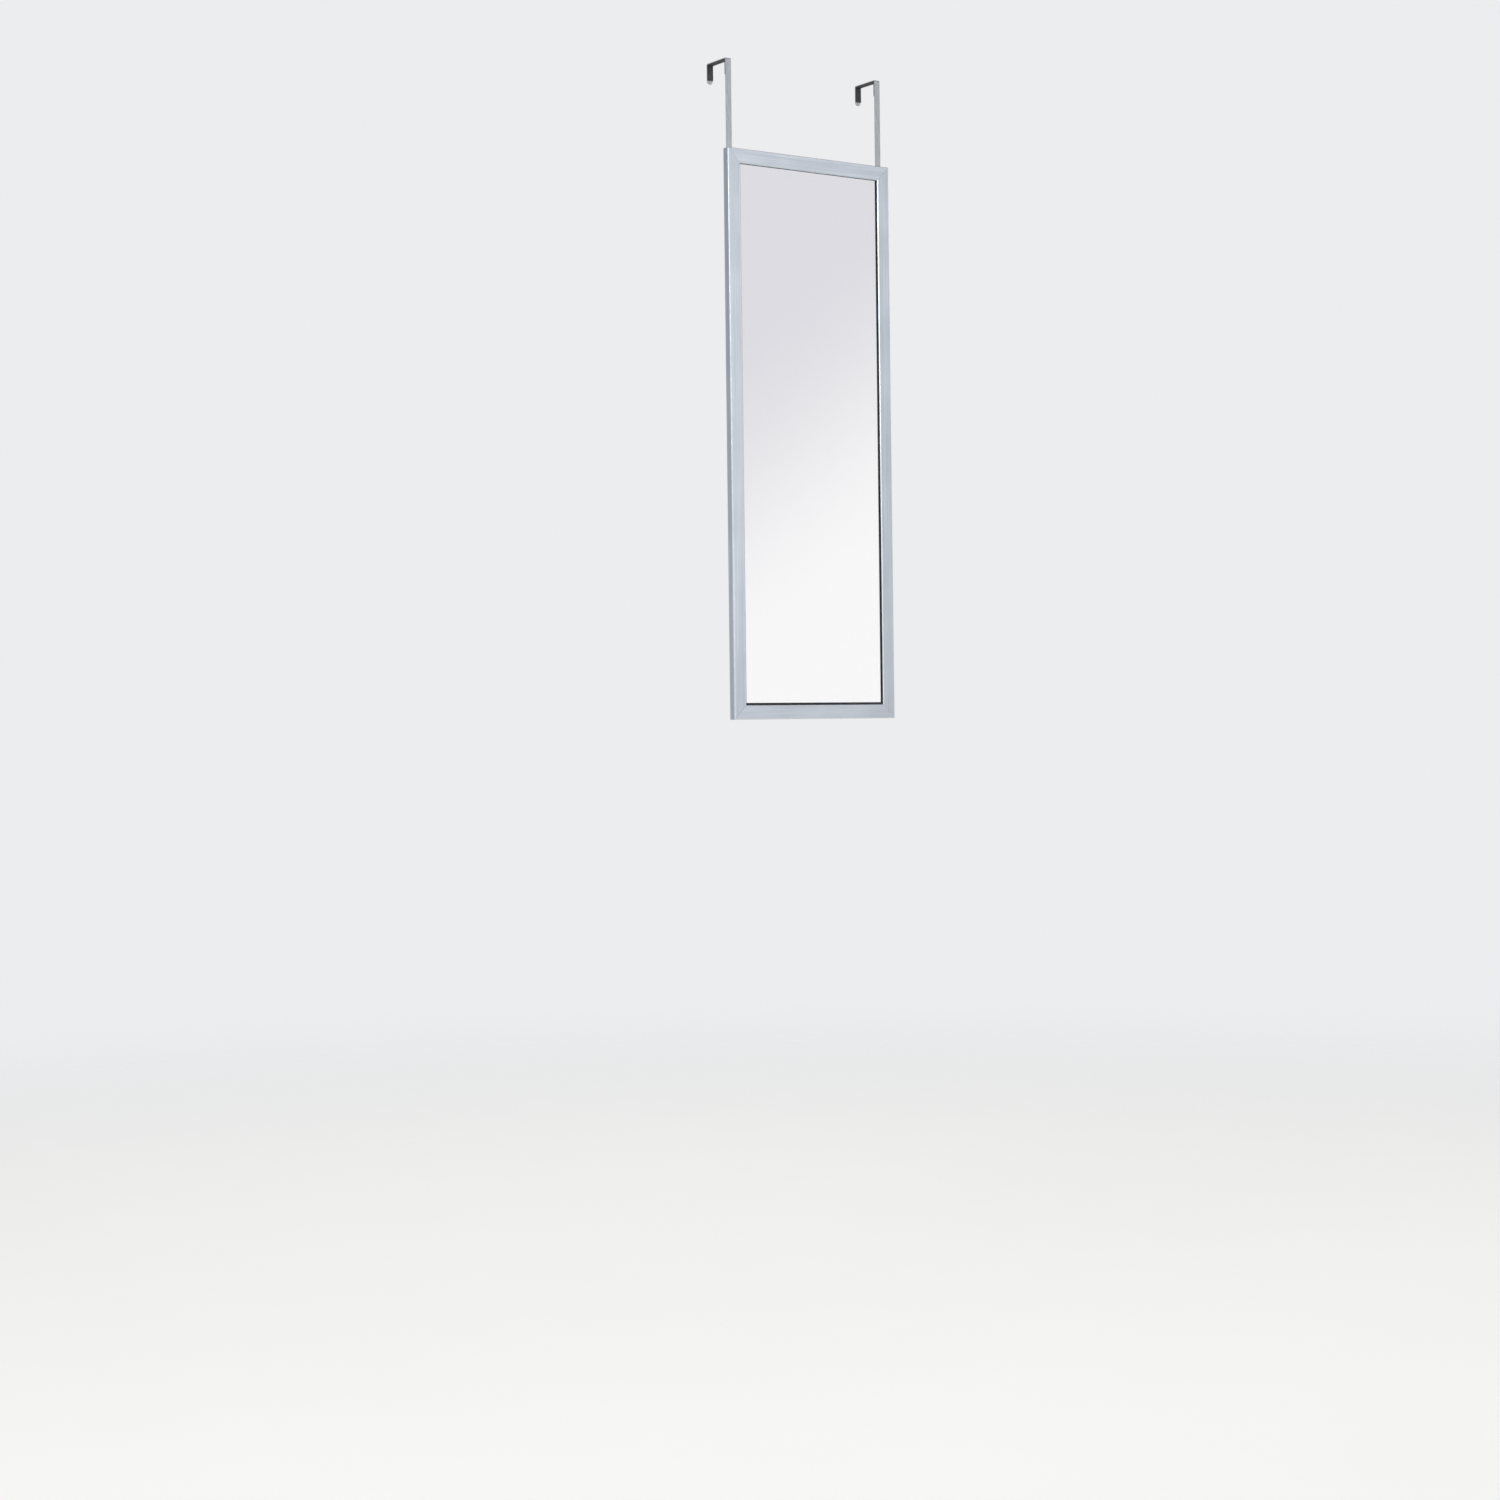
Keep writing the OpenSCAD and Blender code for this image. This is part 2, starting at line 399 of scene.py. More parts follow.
@dataclass(frozen=True)
class RawFibreboard(Finish):
    """Bare fibreboard where the foil stops, on the back and in the rebate."""

    grain: Grain
    knife_step_mm: float = 1.7
    dark: Tone = Tone(150, 119, 86)
    light: Tone = Tone(196, 167, 130)
    patch: Tone = Tone(158, 127, 93)
    cutter: Tone = Tone(134, 104, 73)
    speck: Tone = Tone(104, 78, 54)
    soil: Tone = Tone(98, 76, 55)

    def write(self, shader: Shader) -> None:
        """Writes pressed fibres, cutter streaks, knife marks, specks, and soiled arrises.

        Args:
            shader: The empty tree.
        """
        here = shader.place()
        fibres = shader.noise(shader.place((1, 1, 0.6)), 3200, detail=4, rough=0.7)
        felt = shader.noise(here, 420, detail=4, rough=0.65)
        patches = shader.noise(here, 38, detail=3)
        specks = shader.cells(here, 1100).smooth(0.14, 0.05)
        streaks = shader.noise(shader.place(self.grain.stretch(5, 420)), 1, detail=3, rough=0.6)
        x, _, z = shader.parts(here)
        run = x if self.grain is Grain.ACROSS else z
        waves = 0.5 + 0.5 * (run * (2 * math.pi / (self.knife_step_mm * MM))).sine()
        knives = waves * patches.smooth(0.3, 0.65)
        cuts = streaks.smooth(0.45, 0.8)
        fibred = shader.mix(fibres * 0.6 + felt * 0.4, self.dark, self.light)
        mottled = shader.mix(patches.smooth(0.35, 0.75) * 0.45, fibred, self.patch)
        cut = shader.mix(cuts * 0.45 + knives * 0.12, mottled, self.cutter)
        flecked = shader.mix(specks * 0.4, cut, self.speck)
        shader.surface(
            Base_Color=shader.mix(shader.wear() * (0.3 + 0.5 * felt), flecked, self.soil),
            Roughness=0.82 + 0.12 * fibres,
            Normal=shader.relief(
                fibres * 0.6 + knives * 0.25 + cuts * 0.15, depth_mm=0.06, strength=0.45
            ),
        )


@dataclass(frozen=True)
class FloatGlass(Finish):
    """Clear polished glass with a trace of haze."""

    clear: Tone = Tone(254, 255, 255)
    hazed: Tone = Tone(252, 254, 253)
    refraction: float = 1.52

    def write(self, shader: Shader) -> None:
        """Writes almost colourless glass, on which faint wiped streaks lift the roughness.

        Args:
            shader: The empty tree.
        """
        wiped = shader.noise(shader.place((5, 1, 2)), 4, detail=3, rough=0.6).smooth(0.55, 0.85)
        shader.surface(
            Base_Color=shader.mix(wiped * 0.2, self.clear, self.hazed),
            Roughness=0.006 * wiped,
            Transmission_Weight=1.0,
            IOR=self.refraction,
        )


@dataclass(frozen=True)
class MirrorSilver(Finish):
    """The silver behind the glass."""

    bright: Tone = Tone(254, 254, 255)
    clouded: Tone = Tone(252, 252, 253)

    def write(self, shader: Shader) -> None:
        """Writes bright silver with the faintest clouding.

        Args:
            shader: The empty tree.
        """
        clouds = shader.noise(shader.place(), 7)
        colour = shader.mix(clouds * 0.25, self.bright, self.clouded)
        shader.surface(Base_Color=colour, Metallic=1.0, Roughness=0.003 + 0.003 * clouds)


@dataclass(frozen=True)
class PlasticFilm(Finish):
    """The grey anti-shatter film on the painted back of the glass."""

    dark: Tone = Tone(120, 126, 134)
    light: Tone = Tone(146, 151, 158)

    def write(self, shader: Shader) -> None:
        """Writes a finely mottled film with small air marks.

        Args:
            shader: The empty tree.
        """
        here = shader.place()
        mottle = shader.noise(here, 900, detail=1)
        marks = shader.cells(here, 60).smooth(0.1, 0.02)
        shader.surface(
            Base_Color=shader.mix(mottle * 0.4 + marks * 0.3, self.dark, self.light),
            Roughness=0.38 + 0.15 * mottle,
            Normal=shader.relief(mottle + marks, depth_mm=0.02, strength=0.4),
        )


@dataclass(frozen=True)
class CellFoam(Finish):
    """Closed-cell foam: the cushion sheet, the hook liners and the glazing tape."""

    skin: Tone = Tone(240, 240, 238)
    pore: Tone = Tone(214, 214, 212)
    cell_mm: float = 0.7
    gloss: float = 0.2
    dust: Tone = Tone(190, 188, 184)

    def write(self, shader: Shader) -> None:
        """Writes round cells under a soft skin, with a little handling dust.

        Args:
            shader: The empty tree.
        """
        here = shader.place()
        cells = shader.cells(here, 1 / (self.cell_mm * MM))
        fine = shader.noise(here, 3 / (self.cell_mm * MM))
        dusty = shader.noise(here, 45, detail=3).smooth(0.5, 0.8)
        pores = (cells * 0.8 + fine * 0.3).smooth(0.2, 0.9)
        shader.surface(
            Base_Color=shader.mix(dusty * 0.08, shader.mix(pores, self.pore, self.skin), self.dust),
            Roughness=1 - self.gloss - 0.1 * pores,
            Normal=shader.relief(1 - pores, depth_mm=0.15 * self.cell_mm, strength=0.7),
        )


@dataclass(frozen=True)
class Hardboard(Finish):
    """Pressed brown hardboard, smooth side out."""

    dark: Tone = Tone(116, 82, 53)
    light: Tone = Tone(148, 108, 73)
    cloud: Tone = Tone(120, 82, 52)
    band: Tone = Tone(160, 121, 84)
    fleck: Tone = Tone(184, 146, 104)
    scuff: Tone = Tone(176, 143, 108)
    hair: Tone = Tone(78, 53, 34)

    def write(self, shader: Shader) -> None:
        """Writes matted fibres, clouds, pressing bands, pale flecks, dry scuffs and dark hairs.

        Args:
            shader: The empty tree.
        """
        here = shader.place()
        fibres = shader.noise(shader.place((1, 1, 0.8)), 1150, detail=5, rough=0.72)
        clouds = shader.noise(here, 11, detail=3, rough=0.6)
        bands = shader.noise(shader.place((7, 1, 1.6)), 1)
        flecks = shader.cells(here, 240).smooth(0.12, 0.03)
        scuffs = shader.noise(shader.place((34, 1, 420)), 1).smooth(0.7, 0.8)
        hairs = shader.noise(shader.place((260, 1, 2600)), 1).smooth(0.62, 0.78)
        colour = shader.mix(fibres.smooth(0.25, 0.75), self.dark, self.light)
        colour = shader.mix(clouds.smooth(0.3, 0.75) * 0.45, colour, self.cloud)
        colour = shader.mix(bands.smooth(0.4, 0.7) * 0.2, colour, self.band)
        colour = shader.mix(flecks * 0.55, colour, self.fleck)
        colour = shader.mix(scuffs * 0.35, colour, self.scuff)
        shader.surface(
            Base_Color=shader.mix(hairs * 0.25, colour, self.hair),
            Roughness=0.42 + 0.25 * fibres,
            Normal=shader.relief(fibres * 0.7 + flecks * 0.3, depth_mm=0.06, strength=0.5),
        )


@dataclass(frozen=True)
class PlatedSteel(Finish):
    """Zinc or nickel plated steel on small stamped and turned pieces."""

    light: Tone = Tone(212, 214, 214)
    dark: Tone = Tone(158, 160, 160)
    base_roughness: float = 0.26
    spot: Tone = Tone(128, 124, 116)

    def write(self, shader: Shader) -> None:
        """Writes cloudy plating with fine grain and a few dull spots.

        Args:
            shader: The empty tree.
        """
        here = shader.place()
        clouds = shader.noise(here, 260, detail=3, rough=0.6)
        grain = shader.noise(here, 4200)
        spots = shader.cells(here, 520).smooth(0.2, 0.05)
        plating = shader.mix(clouds.smooth(0.3, 0.75), self.dark, self.light)
        shader.surface(
            Base_Color=shader.mix(spots * 0.3, plating, self.spot),
            Metallic=1.0,
            Roughness=self.base_roughness + 0.16 * clouds + 0.2 * spots,
            Normal=shader.relief(grain, depth_mm=0.012, strength=0.3),
        )


@dataclass(frozen=True)
class SatinStrip(Finish):
    """Satin nickel strip steel, with rolling lines that follow each bend."""

    light: Tone = Tone(176, 181, 183)
    dark: Tone = Tone(143, 148, 151)
    rubbed: Tone = Tone(232, 232, 230)

    def write(self, shader: Shader) -> None:
        """Writes rolling lines and clouds on the flat strip's own map, and rubbed rims.

        Args:
            shader: The empty tree.
        """
        strip = shader.node("ShaderNodeUVMap", {"uv_map": STRIP_MAP}).outputs["UV"]
        lines = shader.noise(shader.stretched(strip, (22, 5200, 1)), 1, detail=3, rough=0.6)
        clouds = shader.noise(shader.stretched(strip, (60, 240, 1)), 1, detail=3)
        rub = shader.wear()
        shade = (lines * 0.7 + clouds * 0.5 - 0.1).smooth(0.2, 0.8)
        shader.surface(
            Base_Color=shader.mix(rub * 0.4, shader.mix(shade, self.dark, self.light), self.rubbed),
            Metallic=1.0,
            Roughness=0.3 + 0.14 * lines + 0.08 * clouds - 0.08 * rub,
            Normal=shader.relief(lines, depth_mm=0.015, strength=0.35),
        )


@dataclass(frozen=True)
class SoftRubber(Finish):
    """Moulded dark rubber."""

    body: Tone = Tone(44, 44, 46)
    bloom: Tone = Tone(92, 92, 94)

    def write(self, shader: Shader) -> None:
        """Writes a fine moulded texture under a pale bloom.

        Args:
            shader: The empty tree.
        """
        here = shader.place()
        grain = shader.noise(here, 2600)
        haze = shader.noise(here, 160, detail=3).smooth(0.45, 0.8)
        shader.surface(
            Base_Color=shader.mix(haze * 0.4 + grain * 0.1, self.body, self.bloom),
            Roughness=0.6 + 0.2 * haze,
            Normal=shader.relief(grain, depth_mm=0.03, strength=0.4),
        )


# Meshes


def box_mm(node: str) -> tuple[Vector, Vector]:
    """The lowest and highest corners of a construction node, in millimetres."""
    low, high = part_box(node)
    return low / MM, high / MM


def arc(middle: Point, radius: float, start: float, end: float, steps: int) -> list[Point]:
    """Points about a middle from one angle to another, in radians, with both ends."""
    angles = (start + (end - start) * step / steps for step in range(steps + 1))
    return [(middle[0] + radius * math.cos(a), middle[1] + radius * math.sin(a)) for a in angles]


def fillet(before: Point, corner: Point, after: Point, radius: float, steps: int) -> list[Point]:
    """Rounds one corner of an outline.

    Args:
        before: The corner before this one.
        corner: The corner to round.
        after: The corner after this one.
        radius: The rounding's radius; 0 keeps the corner.
        steps: How many edges the rounding has.

    Returns:
        The points that take the corner's place, in order.
    """
    if radius <= 0:
        return [corner]
    point = Vector(corner)
    to_before = (Vector(before) - point).normalized()
    to_after = (Vector(after) - point).normalized()
    half = to_before.angle(to_after) / 2
    centre = point + (to_before + to_after).normalized() * (radius / math.sin(half))
    start = point + to_before * (radius / math.tan(half)) - centre
    end = point + to_after * (radius / math.tan(half)) - centre
    turn = math.atan2(start.cross(end), start.dot(end))
    points = []
    for step in range(steps + 1):
        spoke = Matrix.Rotation(turn * step / steps, 2) @ start
        points.append(tuple(centre + spoke))
    return points


def scene_object(name: str, mesh: bpy.types.Mesh) -> bpy.types.Object:
    """Puts a mesh into the scene.

    Args:
        name: The new object's name.
        mesh: Its mesh.

    Returns:
        The object.
    """
    made = bpy.data.objects.new(name, mesh)
    bpy.context.scene.collection.objects.link(made)
    return made


def plain_mesh(made: bpy.types.Object) -> bpy.types.Object:
    """Turns what an object's modifiers make into its own mesh, and removes them.

    Args:
        made: The object.

    Returns:
        The same object.
    """
    graph = bpy.context.evaluated_depsgraph_get()
    result = bpy.data.meshes.new_from_object(made.evaluated_get(graph), depsgraph=graph)
    made.modifiers.clear()
    result.name = made.name
    made.data = result
    return made


def shade_by_angle(made: bpy.types.Object) -> bpy.types.Object:
    """Welds doubled points, smooths the faces, keeps sharper edges crisp and large faces flat.

    Args:
        made: The object; its mesh is exchanged for the shaded one.

    Returns:
        The same object.
    """
    edit = bmesh.new()
    edit.from_mesh(made.data)
    bmesh.ops.remove_doubles(edit, verts=edit.verts, dist=WELD_DISTANCE)
    for face in edit.faces:
        face.smooth = True
    for edge in edit.edges:
        edge.smooth = edge.is_manifold and edge.calc_face_angle(math.pi) < SMOOTH_ANGLE
    edit.to_mesh(made.data)
    edit.free()
    weights = made.modifiers.new("flat_faces", "WEIGHTED_NORMAL")
    weights.mode = "FACE_AREA"
    weights.keep_sharp = True
    return plain_mesh(made)


def mesh_object(name: str, edit: bmesh.types.BMesh, *finishes: Finish) -> bpy.types.Object:
    """Ends a modelled piece: millimetres become metres, and it gets its finishes.

    Args:
        name: The piece's name.
        edit: Its shape, in millimetres. It is freed.
        *finishes: One finish for each material index.

    Returns:
        The piece.
    """
    bmesh.ops.transform(edit, matrix=Matrix.Scale(MM, 4), verts=edit.verts)
    mesh = bpy.data.meshes.new(name)
    edit.to_mesh(mesh)
    edit.free()
    for finish in finishes:
        mesh.materials.append(finish.material())
    return shade_by_angle(scene_object(name, mesh))


def face_outward(edit: bmesh.types.BMesh) -> None:
    """Turns the faces of a closed shape outward, whichever way they were wound.

    Args:
        edit: The shape.
    """
    bmesh.ops.recalc_face_normals(edit, faces=edit.faces)
    if edit.calc_volume(signed=True) < 0:
        bmesh.ops.reverse_faces(edit, faces=edit.faces)


def turn_about_x(edit: bmesh.types.BMesh, angle: float) -> None:
    """Turns a shape about the X axis by an angle in radians."""
    bmesh.ops.rotate(edit, matrix=Matrix.Rotation(angle, 3, "X"), verts=edit.verts)


def around(points: Sequence[Any]) -> Iterator[tuple[Any, Any, Any]]:
    """Each point of a closed outline, between the one before it and the one after it."""
    return zip(points[-1:] + points[:-1], points, points[1:] + points[:1])


def join_rings(
    edit: bmesh.types.BMesh, rings: Sequence[Sequence[bmesh.types.BMVert]], coats: Sequence[int] = (0,)
) -> None:
    """Joins rings of points by bands of faces; a ring of one point is a pole.

    Args:
        edit: The shape that the points belong to.
        rings: The rings in order, of equal length apart from poles.
        coats: The material index of each face round a band, repeated if there are fewer.
    """
    count = max(len(ring) for ring in rings)
    for first, second in zip(rings, rings[1:]):
        for here in range(count):
            following = (here + 1) % count
            corners = [first[here % len(first)], first[following % len(first)],
                       second[following % len(second)], second[here % len(second)]]
            face = edit.faces.new(list(dict.fromkeys(corners)))
            face.material_index = coats[here % len(coats)]


def lathe(profile: Sequence[Point], segments: int) -> bmesh.types.BMesh:
    """Turns a profile about the Z axis.

    Args:
        profile: (radius, height) points from one pole to the other; the ends lie on the axis.
        segments: How many sides the turned piece has.

    Returns:
        A closed shape.
    """
    edit = bmesh.new()
    angles = [2 * math.pi * k / segments for k in range(segments)]
    rings = []
    for radius, height in profile:
        turns = angles if radius > 0 else [0.0]
        rings.append([
            edit.verts.new((radius * math.cos(a), radius * math.sin(a), height)) for a in turns
        ])
    join_rings(edit, rings)
    face_outward(edit)
    return edit


def stamped(outlines: Sequence[Sequence[Point]], thickness: float, burr: float) -> bmesh.types.BMesh:
    """A flat blank in the XY plane, centred on z = 0, with its rims eased.

    Args:
        outlines: Closed outlines; those inside the first are holes.
        thickness: The sheet's thickness.
        burr: The width of the easing along every rim.

    Returns:
        A closed shape.
    """
    edit = bmesh.new()
    for outline in outlines:
        corners = [edit.verts.new((x, y, -thickness / 2)) for x, y in outline]
        for first, second in zip(corners, corners[1:] + corners[:1]):
            edit.edges.new((first, second))
    bmesh.ops.triangle_fill(edit, use_beauty=True, edges=edit.edges[:])
    raised = bmesh.ops.extrude_face_region(edit, geom=edit.faces[:])["geom"]
    lifted = [part for part in raised if isinstance(part, bmesh.types.BMVert)]
    bmesh.ops.translate(edit, vec=(0, 0, thickness), verts=lifted)
    face_outward(edit)
    rims = []
    for edge in edit.edges:
        rise = abs(edge.verts[0].co.z - edge.verts[1].co.z)
        if edge.calc_face_angle(0) > SMOOTH_ANGLE and rise < LEVEL_TOLERANCE:
            rims.append(edge)
    bmesh.ops.bevel(edit, geom=rims, offset=burr, segments=2, profile=0.5, affect="EDGES")
    return edit


def renumbered(edit: bmesh.types.BMesh) -> bmesh.types.BMesh:
    """Numbers a shape's points and faces by place, because cutting numbers them anew each run.

    Args:
        edit: The shape; it is used up.

    Returns:
        The same shape.
    """
    corners = sorted(edit.verts, key=lambda corner: corner.co[:])
    number = {corner: index for index, corner in enumerate(corners)}
    rings = []
    for face in edit.faces:
        ring = [number[corner] for corner in face.verts]
        first = ring.index(min(ring))
        rings.append(ring[first:] + ring[:first])
    fixed = bmesh.new()
    placed = [fixed.verts.new(corner.co) for corner in corners]
    for ring in sorted(rings):
        fixed.faces.new([placed[index] for index in ring])
    edit.free()
    return fixed


def slab(low: Vector, high: Vector, ease: float) -> bmesh.types.BMesh:
    """A rectangular sheet with every edge eased.

    Args:
        low: Its lowest corner.
        high: Its highest corner.
        ease: The width of the easing.

    Returns:
        A closed shape.
    """
    edit = bmesh.new()
    bmesh.ops.create_cube(edit, size=1.0)
    bmesh.ops.scale(edit, vec=high - low, verts=edit.verts)
    bmesh.ops.translate(edit, vec=(low + high) / 2, verts=edit.verts)
    bmesh.ops.bevel(edit, geom=edit.edges[:], offset=ease, segments=2, profile=0.6, affect="EDGES")
    return edit


# Geometry Nodes


class ShapeModel(NodeWriter):
    """A Geometry Nodes tree with named inputs, run once on an object."""

    def __init__(self, name: str, **inputs: str) -> None:
        """Starts a tree.

        Args:
            name: The tree's name.
            **inputs: The kind of each named input besides the geometry.
        """
        super().__init__(bpy.data.node_groups.new(name, "GeometryNodeTree"))
        face = self.tree.interface
        face.new_socket("Geometry", in_out="INPUT", socket_type="NodeSocketGeometry")
        self.keys = {
            title: face.new_socket(title, in_out="INPUT", socket_type=f"NodeSocket{kind}").identifier
            for title, kind in inputs.items()
        }
        face.new_socket("Geometry", in_out="OUTPUT", socket_type="NodeSocketGeometry")
        self.entry = self.node("NodeGroupInput")

    def given(self, title: str) -> Value:
        """One of the tree's inputs, by its name."""
        return self.value(self.entry, title)

    def close(self, shape: bpy.types.Node) -> None:
        """Ends the tree in Realize Instances and Set Material.

        Args:
            shape: The node that gives the finished shape.
        """
        real = self.node("GeometryNodeRealizeInstances", None, {0: shape.outputs[0]})
        inputs = {0: real.outputs[0], "Material": self.given("finish")}
        dressed = self.node("GeometryNodeSetMaterial", None, inputs)
        self.node("NodeGroupOutput", None, {0: dressed.outputs[0]})

    def run(self, carrier: bpy.types.Object, **values: Any) -> bpy.types.Object:
        """Runs the tree on an object and keeps the result as its plain mesh.

        Args:
            carrier: The object whose geometry the tree takes.
            **values: A value for each named input.

        Returns:
            The same object with its new mesh.
        """
        modifier = carrier.modifiers.new(self.tree.name, "NODES")
        modifier.node_group = self.tree
        for title, chosen in values.items():
            modifier[self.keys[title]] = chosen
        return shade_by_angle(plain_mesh(carrier))


class Station(NamedTuple):
    """Where one copy of a small part goes: a place in millimetres, and a turn about Y."""

    place: Vector
    turn: float = 0.0


class CopiesModel(ShapeModel):
    """Puts a copy of one small part at every point, turned about Y."""

    def __init__(self) -> None:
        """Writes the tree: a turn for each point, plus a little chance in it."""
        kinds = {"part": "Object", "finish": "Material", "size": "Float", "loose": "Float"}
        super().__init__("copies_at_points", **kinds, seed="Int")
        part = self.node("GeometryNodeObjectInfo", None, {"Object": self.given("part")})
        turn = self.node("GeometryNodeInputNamedAttribute", {"data_type": "FLOAT"}, {"Name": "turn"})
        loose = self.given("loose")
        chance = self.node(
            "FunctionNodeRandomValue",
            {"data_type": "FLOAT"},
            {"Min_001": -1 * loose, "Max_001": loose, "Seed": self.given("seed")},
        )
        about_y = self.value(turn) + self.value(chance, "Value_001")
        angles = self.node("ShaderNodeCombineXYZ", None, {"Y": about_y})
        size = self.node("ShaderNodeCombineXYZ", None, dict.fromkeys("XYZ", self.given("size")))
        copies = self.node(
            "GeometryNodeInstanceOnPoints",
            None,
            {
                "Points": self.given("Geometry"),
                "Instance": part.outputs["Geometry"],
                "Rotation": angles.outputs[0],
                "Scale": size.outputs[0],
            },
        )
        self.close(copies)

    def copies(
        self,
        name: str,
        part: bpy.types.Object,
        stations: Sequence[Station],
        loose_turn: float = 0.0,
        seed: int = 7,
    ) -> bpy.types.Object:
        """Copies a part to its stations, and removes the part that was copied.

        Args:
            name: The finished piece's name.
            part: The part, in metres about its own origin, dressed in its one finish.
            stations: Where each copy goes.
            loose_turn: The most that chance adds to a turn, in radians.
            seed: The seed of that chance.

        Returns:
            One piece that holds all copies.
        """
        mesh = bpy.data.meshes.new(name)
        mesh.from_pydata([station.place * MM for station in stations], [], [])
        turns = mesh.attributes.new("turn", "FLOAT", "POINT")
        turns.data.foreach_set("value", [station.turn for station in stations])
        finish = part.data.materials[0]
        carrier = scene_object(name, mesh)
        made = self.run(carrier, part=part, finish=finish, size=1.0, loose=loose_turn, seed=seed)
        bpy.data.objects.remove(part)
        return made


class SweepModel(ShapeModel):
    """Sweeps a rectangle with eased corners along the edges of its carrier."""

    corner_steps = 3

    def __init__(self) -> None:
        """Writes the tree: a path, a rounded profile, and closed ends."""
        kinds = {"finish": "Material", "width": "Float", "thickness": "Float", "ease": "Float"}
        super().__init__("strip_along_path", **kinds)
        path = self.node("GeometryNodeMeshToCurve", None, {0: self.given("Geometry")})
        profile = self.node(
            "GeometryNodeCurvePrimitiveQuadrilateral",
            None,
            {"Width": self.given("width"), "Height": self.given("thickness")},
        )
        eased = self.node(
            "GeometryNodeFilletCurve",
            {"mode": "POLY"},
            {
                "Curve": profile.outputs[0],
                "Count": self.corner_steps,
                "Radius": self.given("ease"),
            },
        )
        swept = self.node(
            "GeometryNodeCurveToMesh",
            None,
            {"Curve": path.outputs[0], "Profile Curve": eased.outputs[0], "Fill Caps": True},
        )
        self.close(swept)

    def strip(
        self,
        name: str,
        path: Sequence[Vector],
        finish: Finish,
        width: float,
        thickness: float,
        ease: float,
    ) -> bpy.types.Object:
        """Makes one strip along a path.

        Args:
            name: The piece's name.
            path: The strip's centre line, in millimetres.
            finish: What the strip is dressed in.
            width: The profile's first side, in millimetres.
            thickness: The profile's second side, in millimetres.
            ease: The radius of the profile's corners, in millimetres.

        Returns:
            The strip.
        """
        mesh = bpy.data.meshes.new(name)
        edges = [(k, k + 1) for k in range(len(path) - 1)]
        mesh.from_pydata([point * MM for point in path], edges, [])
        sizes = {"width": width * MM, "thickness": thickness * MM, "ease": ease * MM}
        return self.run(scene_object(name, mesh), finish=finish.material(), **sizes)


# Sub-assemblies


def body_piece(piece: bpy.types.Object, body: str, slot: str, *nodes: str) -> None:
    """Ties a finished piece to the construction model and reports it.

    Args:
        piece: The piece.
        body: The body that it moves with.
        slot: The record's material slot name; not used.
        *nodes: The construction nodes that it stands for.
    """
    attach(piece, body)
    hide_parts(*nodes)
    LOG.info("%s: %d faces on %s", piece.name, len(piece.data.polygons), body)


def dress_node(node: str, finish: Finish) -> None:
    """Gives a construction node that stays in view its finish.

    Args:
        node: The construction node.
        finish: What it is dressed in.
    """
    shown = frame["nodes"][node]
    if not shown.material_slots:
        shown.data.materials.append(None)
    for place in shown.material_slots:
        place.material = finish.material()
    LOG.info("%s: construction node in %s", node, finish.name)


class Rail(Enum):
    """The four rails, each with its quarter turns about Y from the top rail's place."""

    TOP = ("frame_top_rail", 0)
    RIGHT = ("frame_right_stile", 1)
    BOTTOM = ("frame_bottom_rail", 2)
    LEFT = ("frame_left_stile", 3)

    def __init__(self, node: str, quarters: int) -> None:
        """Keeps the rail's construction node and its quarter turns."""
        self.node = node
        self.quarters = quarters

    @property
    def upright(self) -> bool:
        """Whether the rail is a stile."""
        return self.quarters % 2 == 1


class SectionPoint(NamedTuple):
    """A point of the moulding's section, in millimetres, and whether foil covers what follows."""

    inward: float
    backward: float
    radius: float = 0.0
    steps: int = 1
    wear: float = 0.0
    foil: bool = True


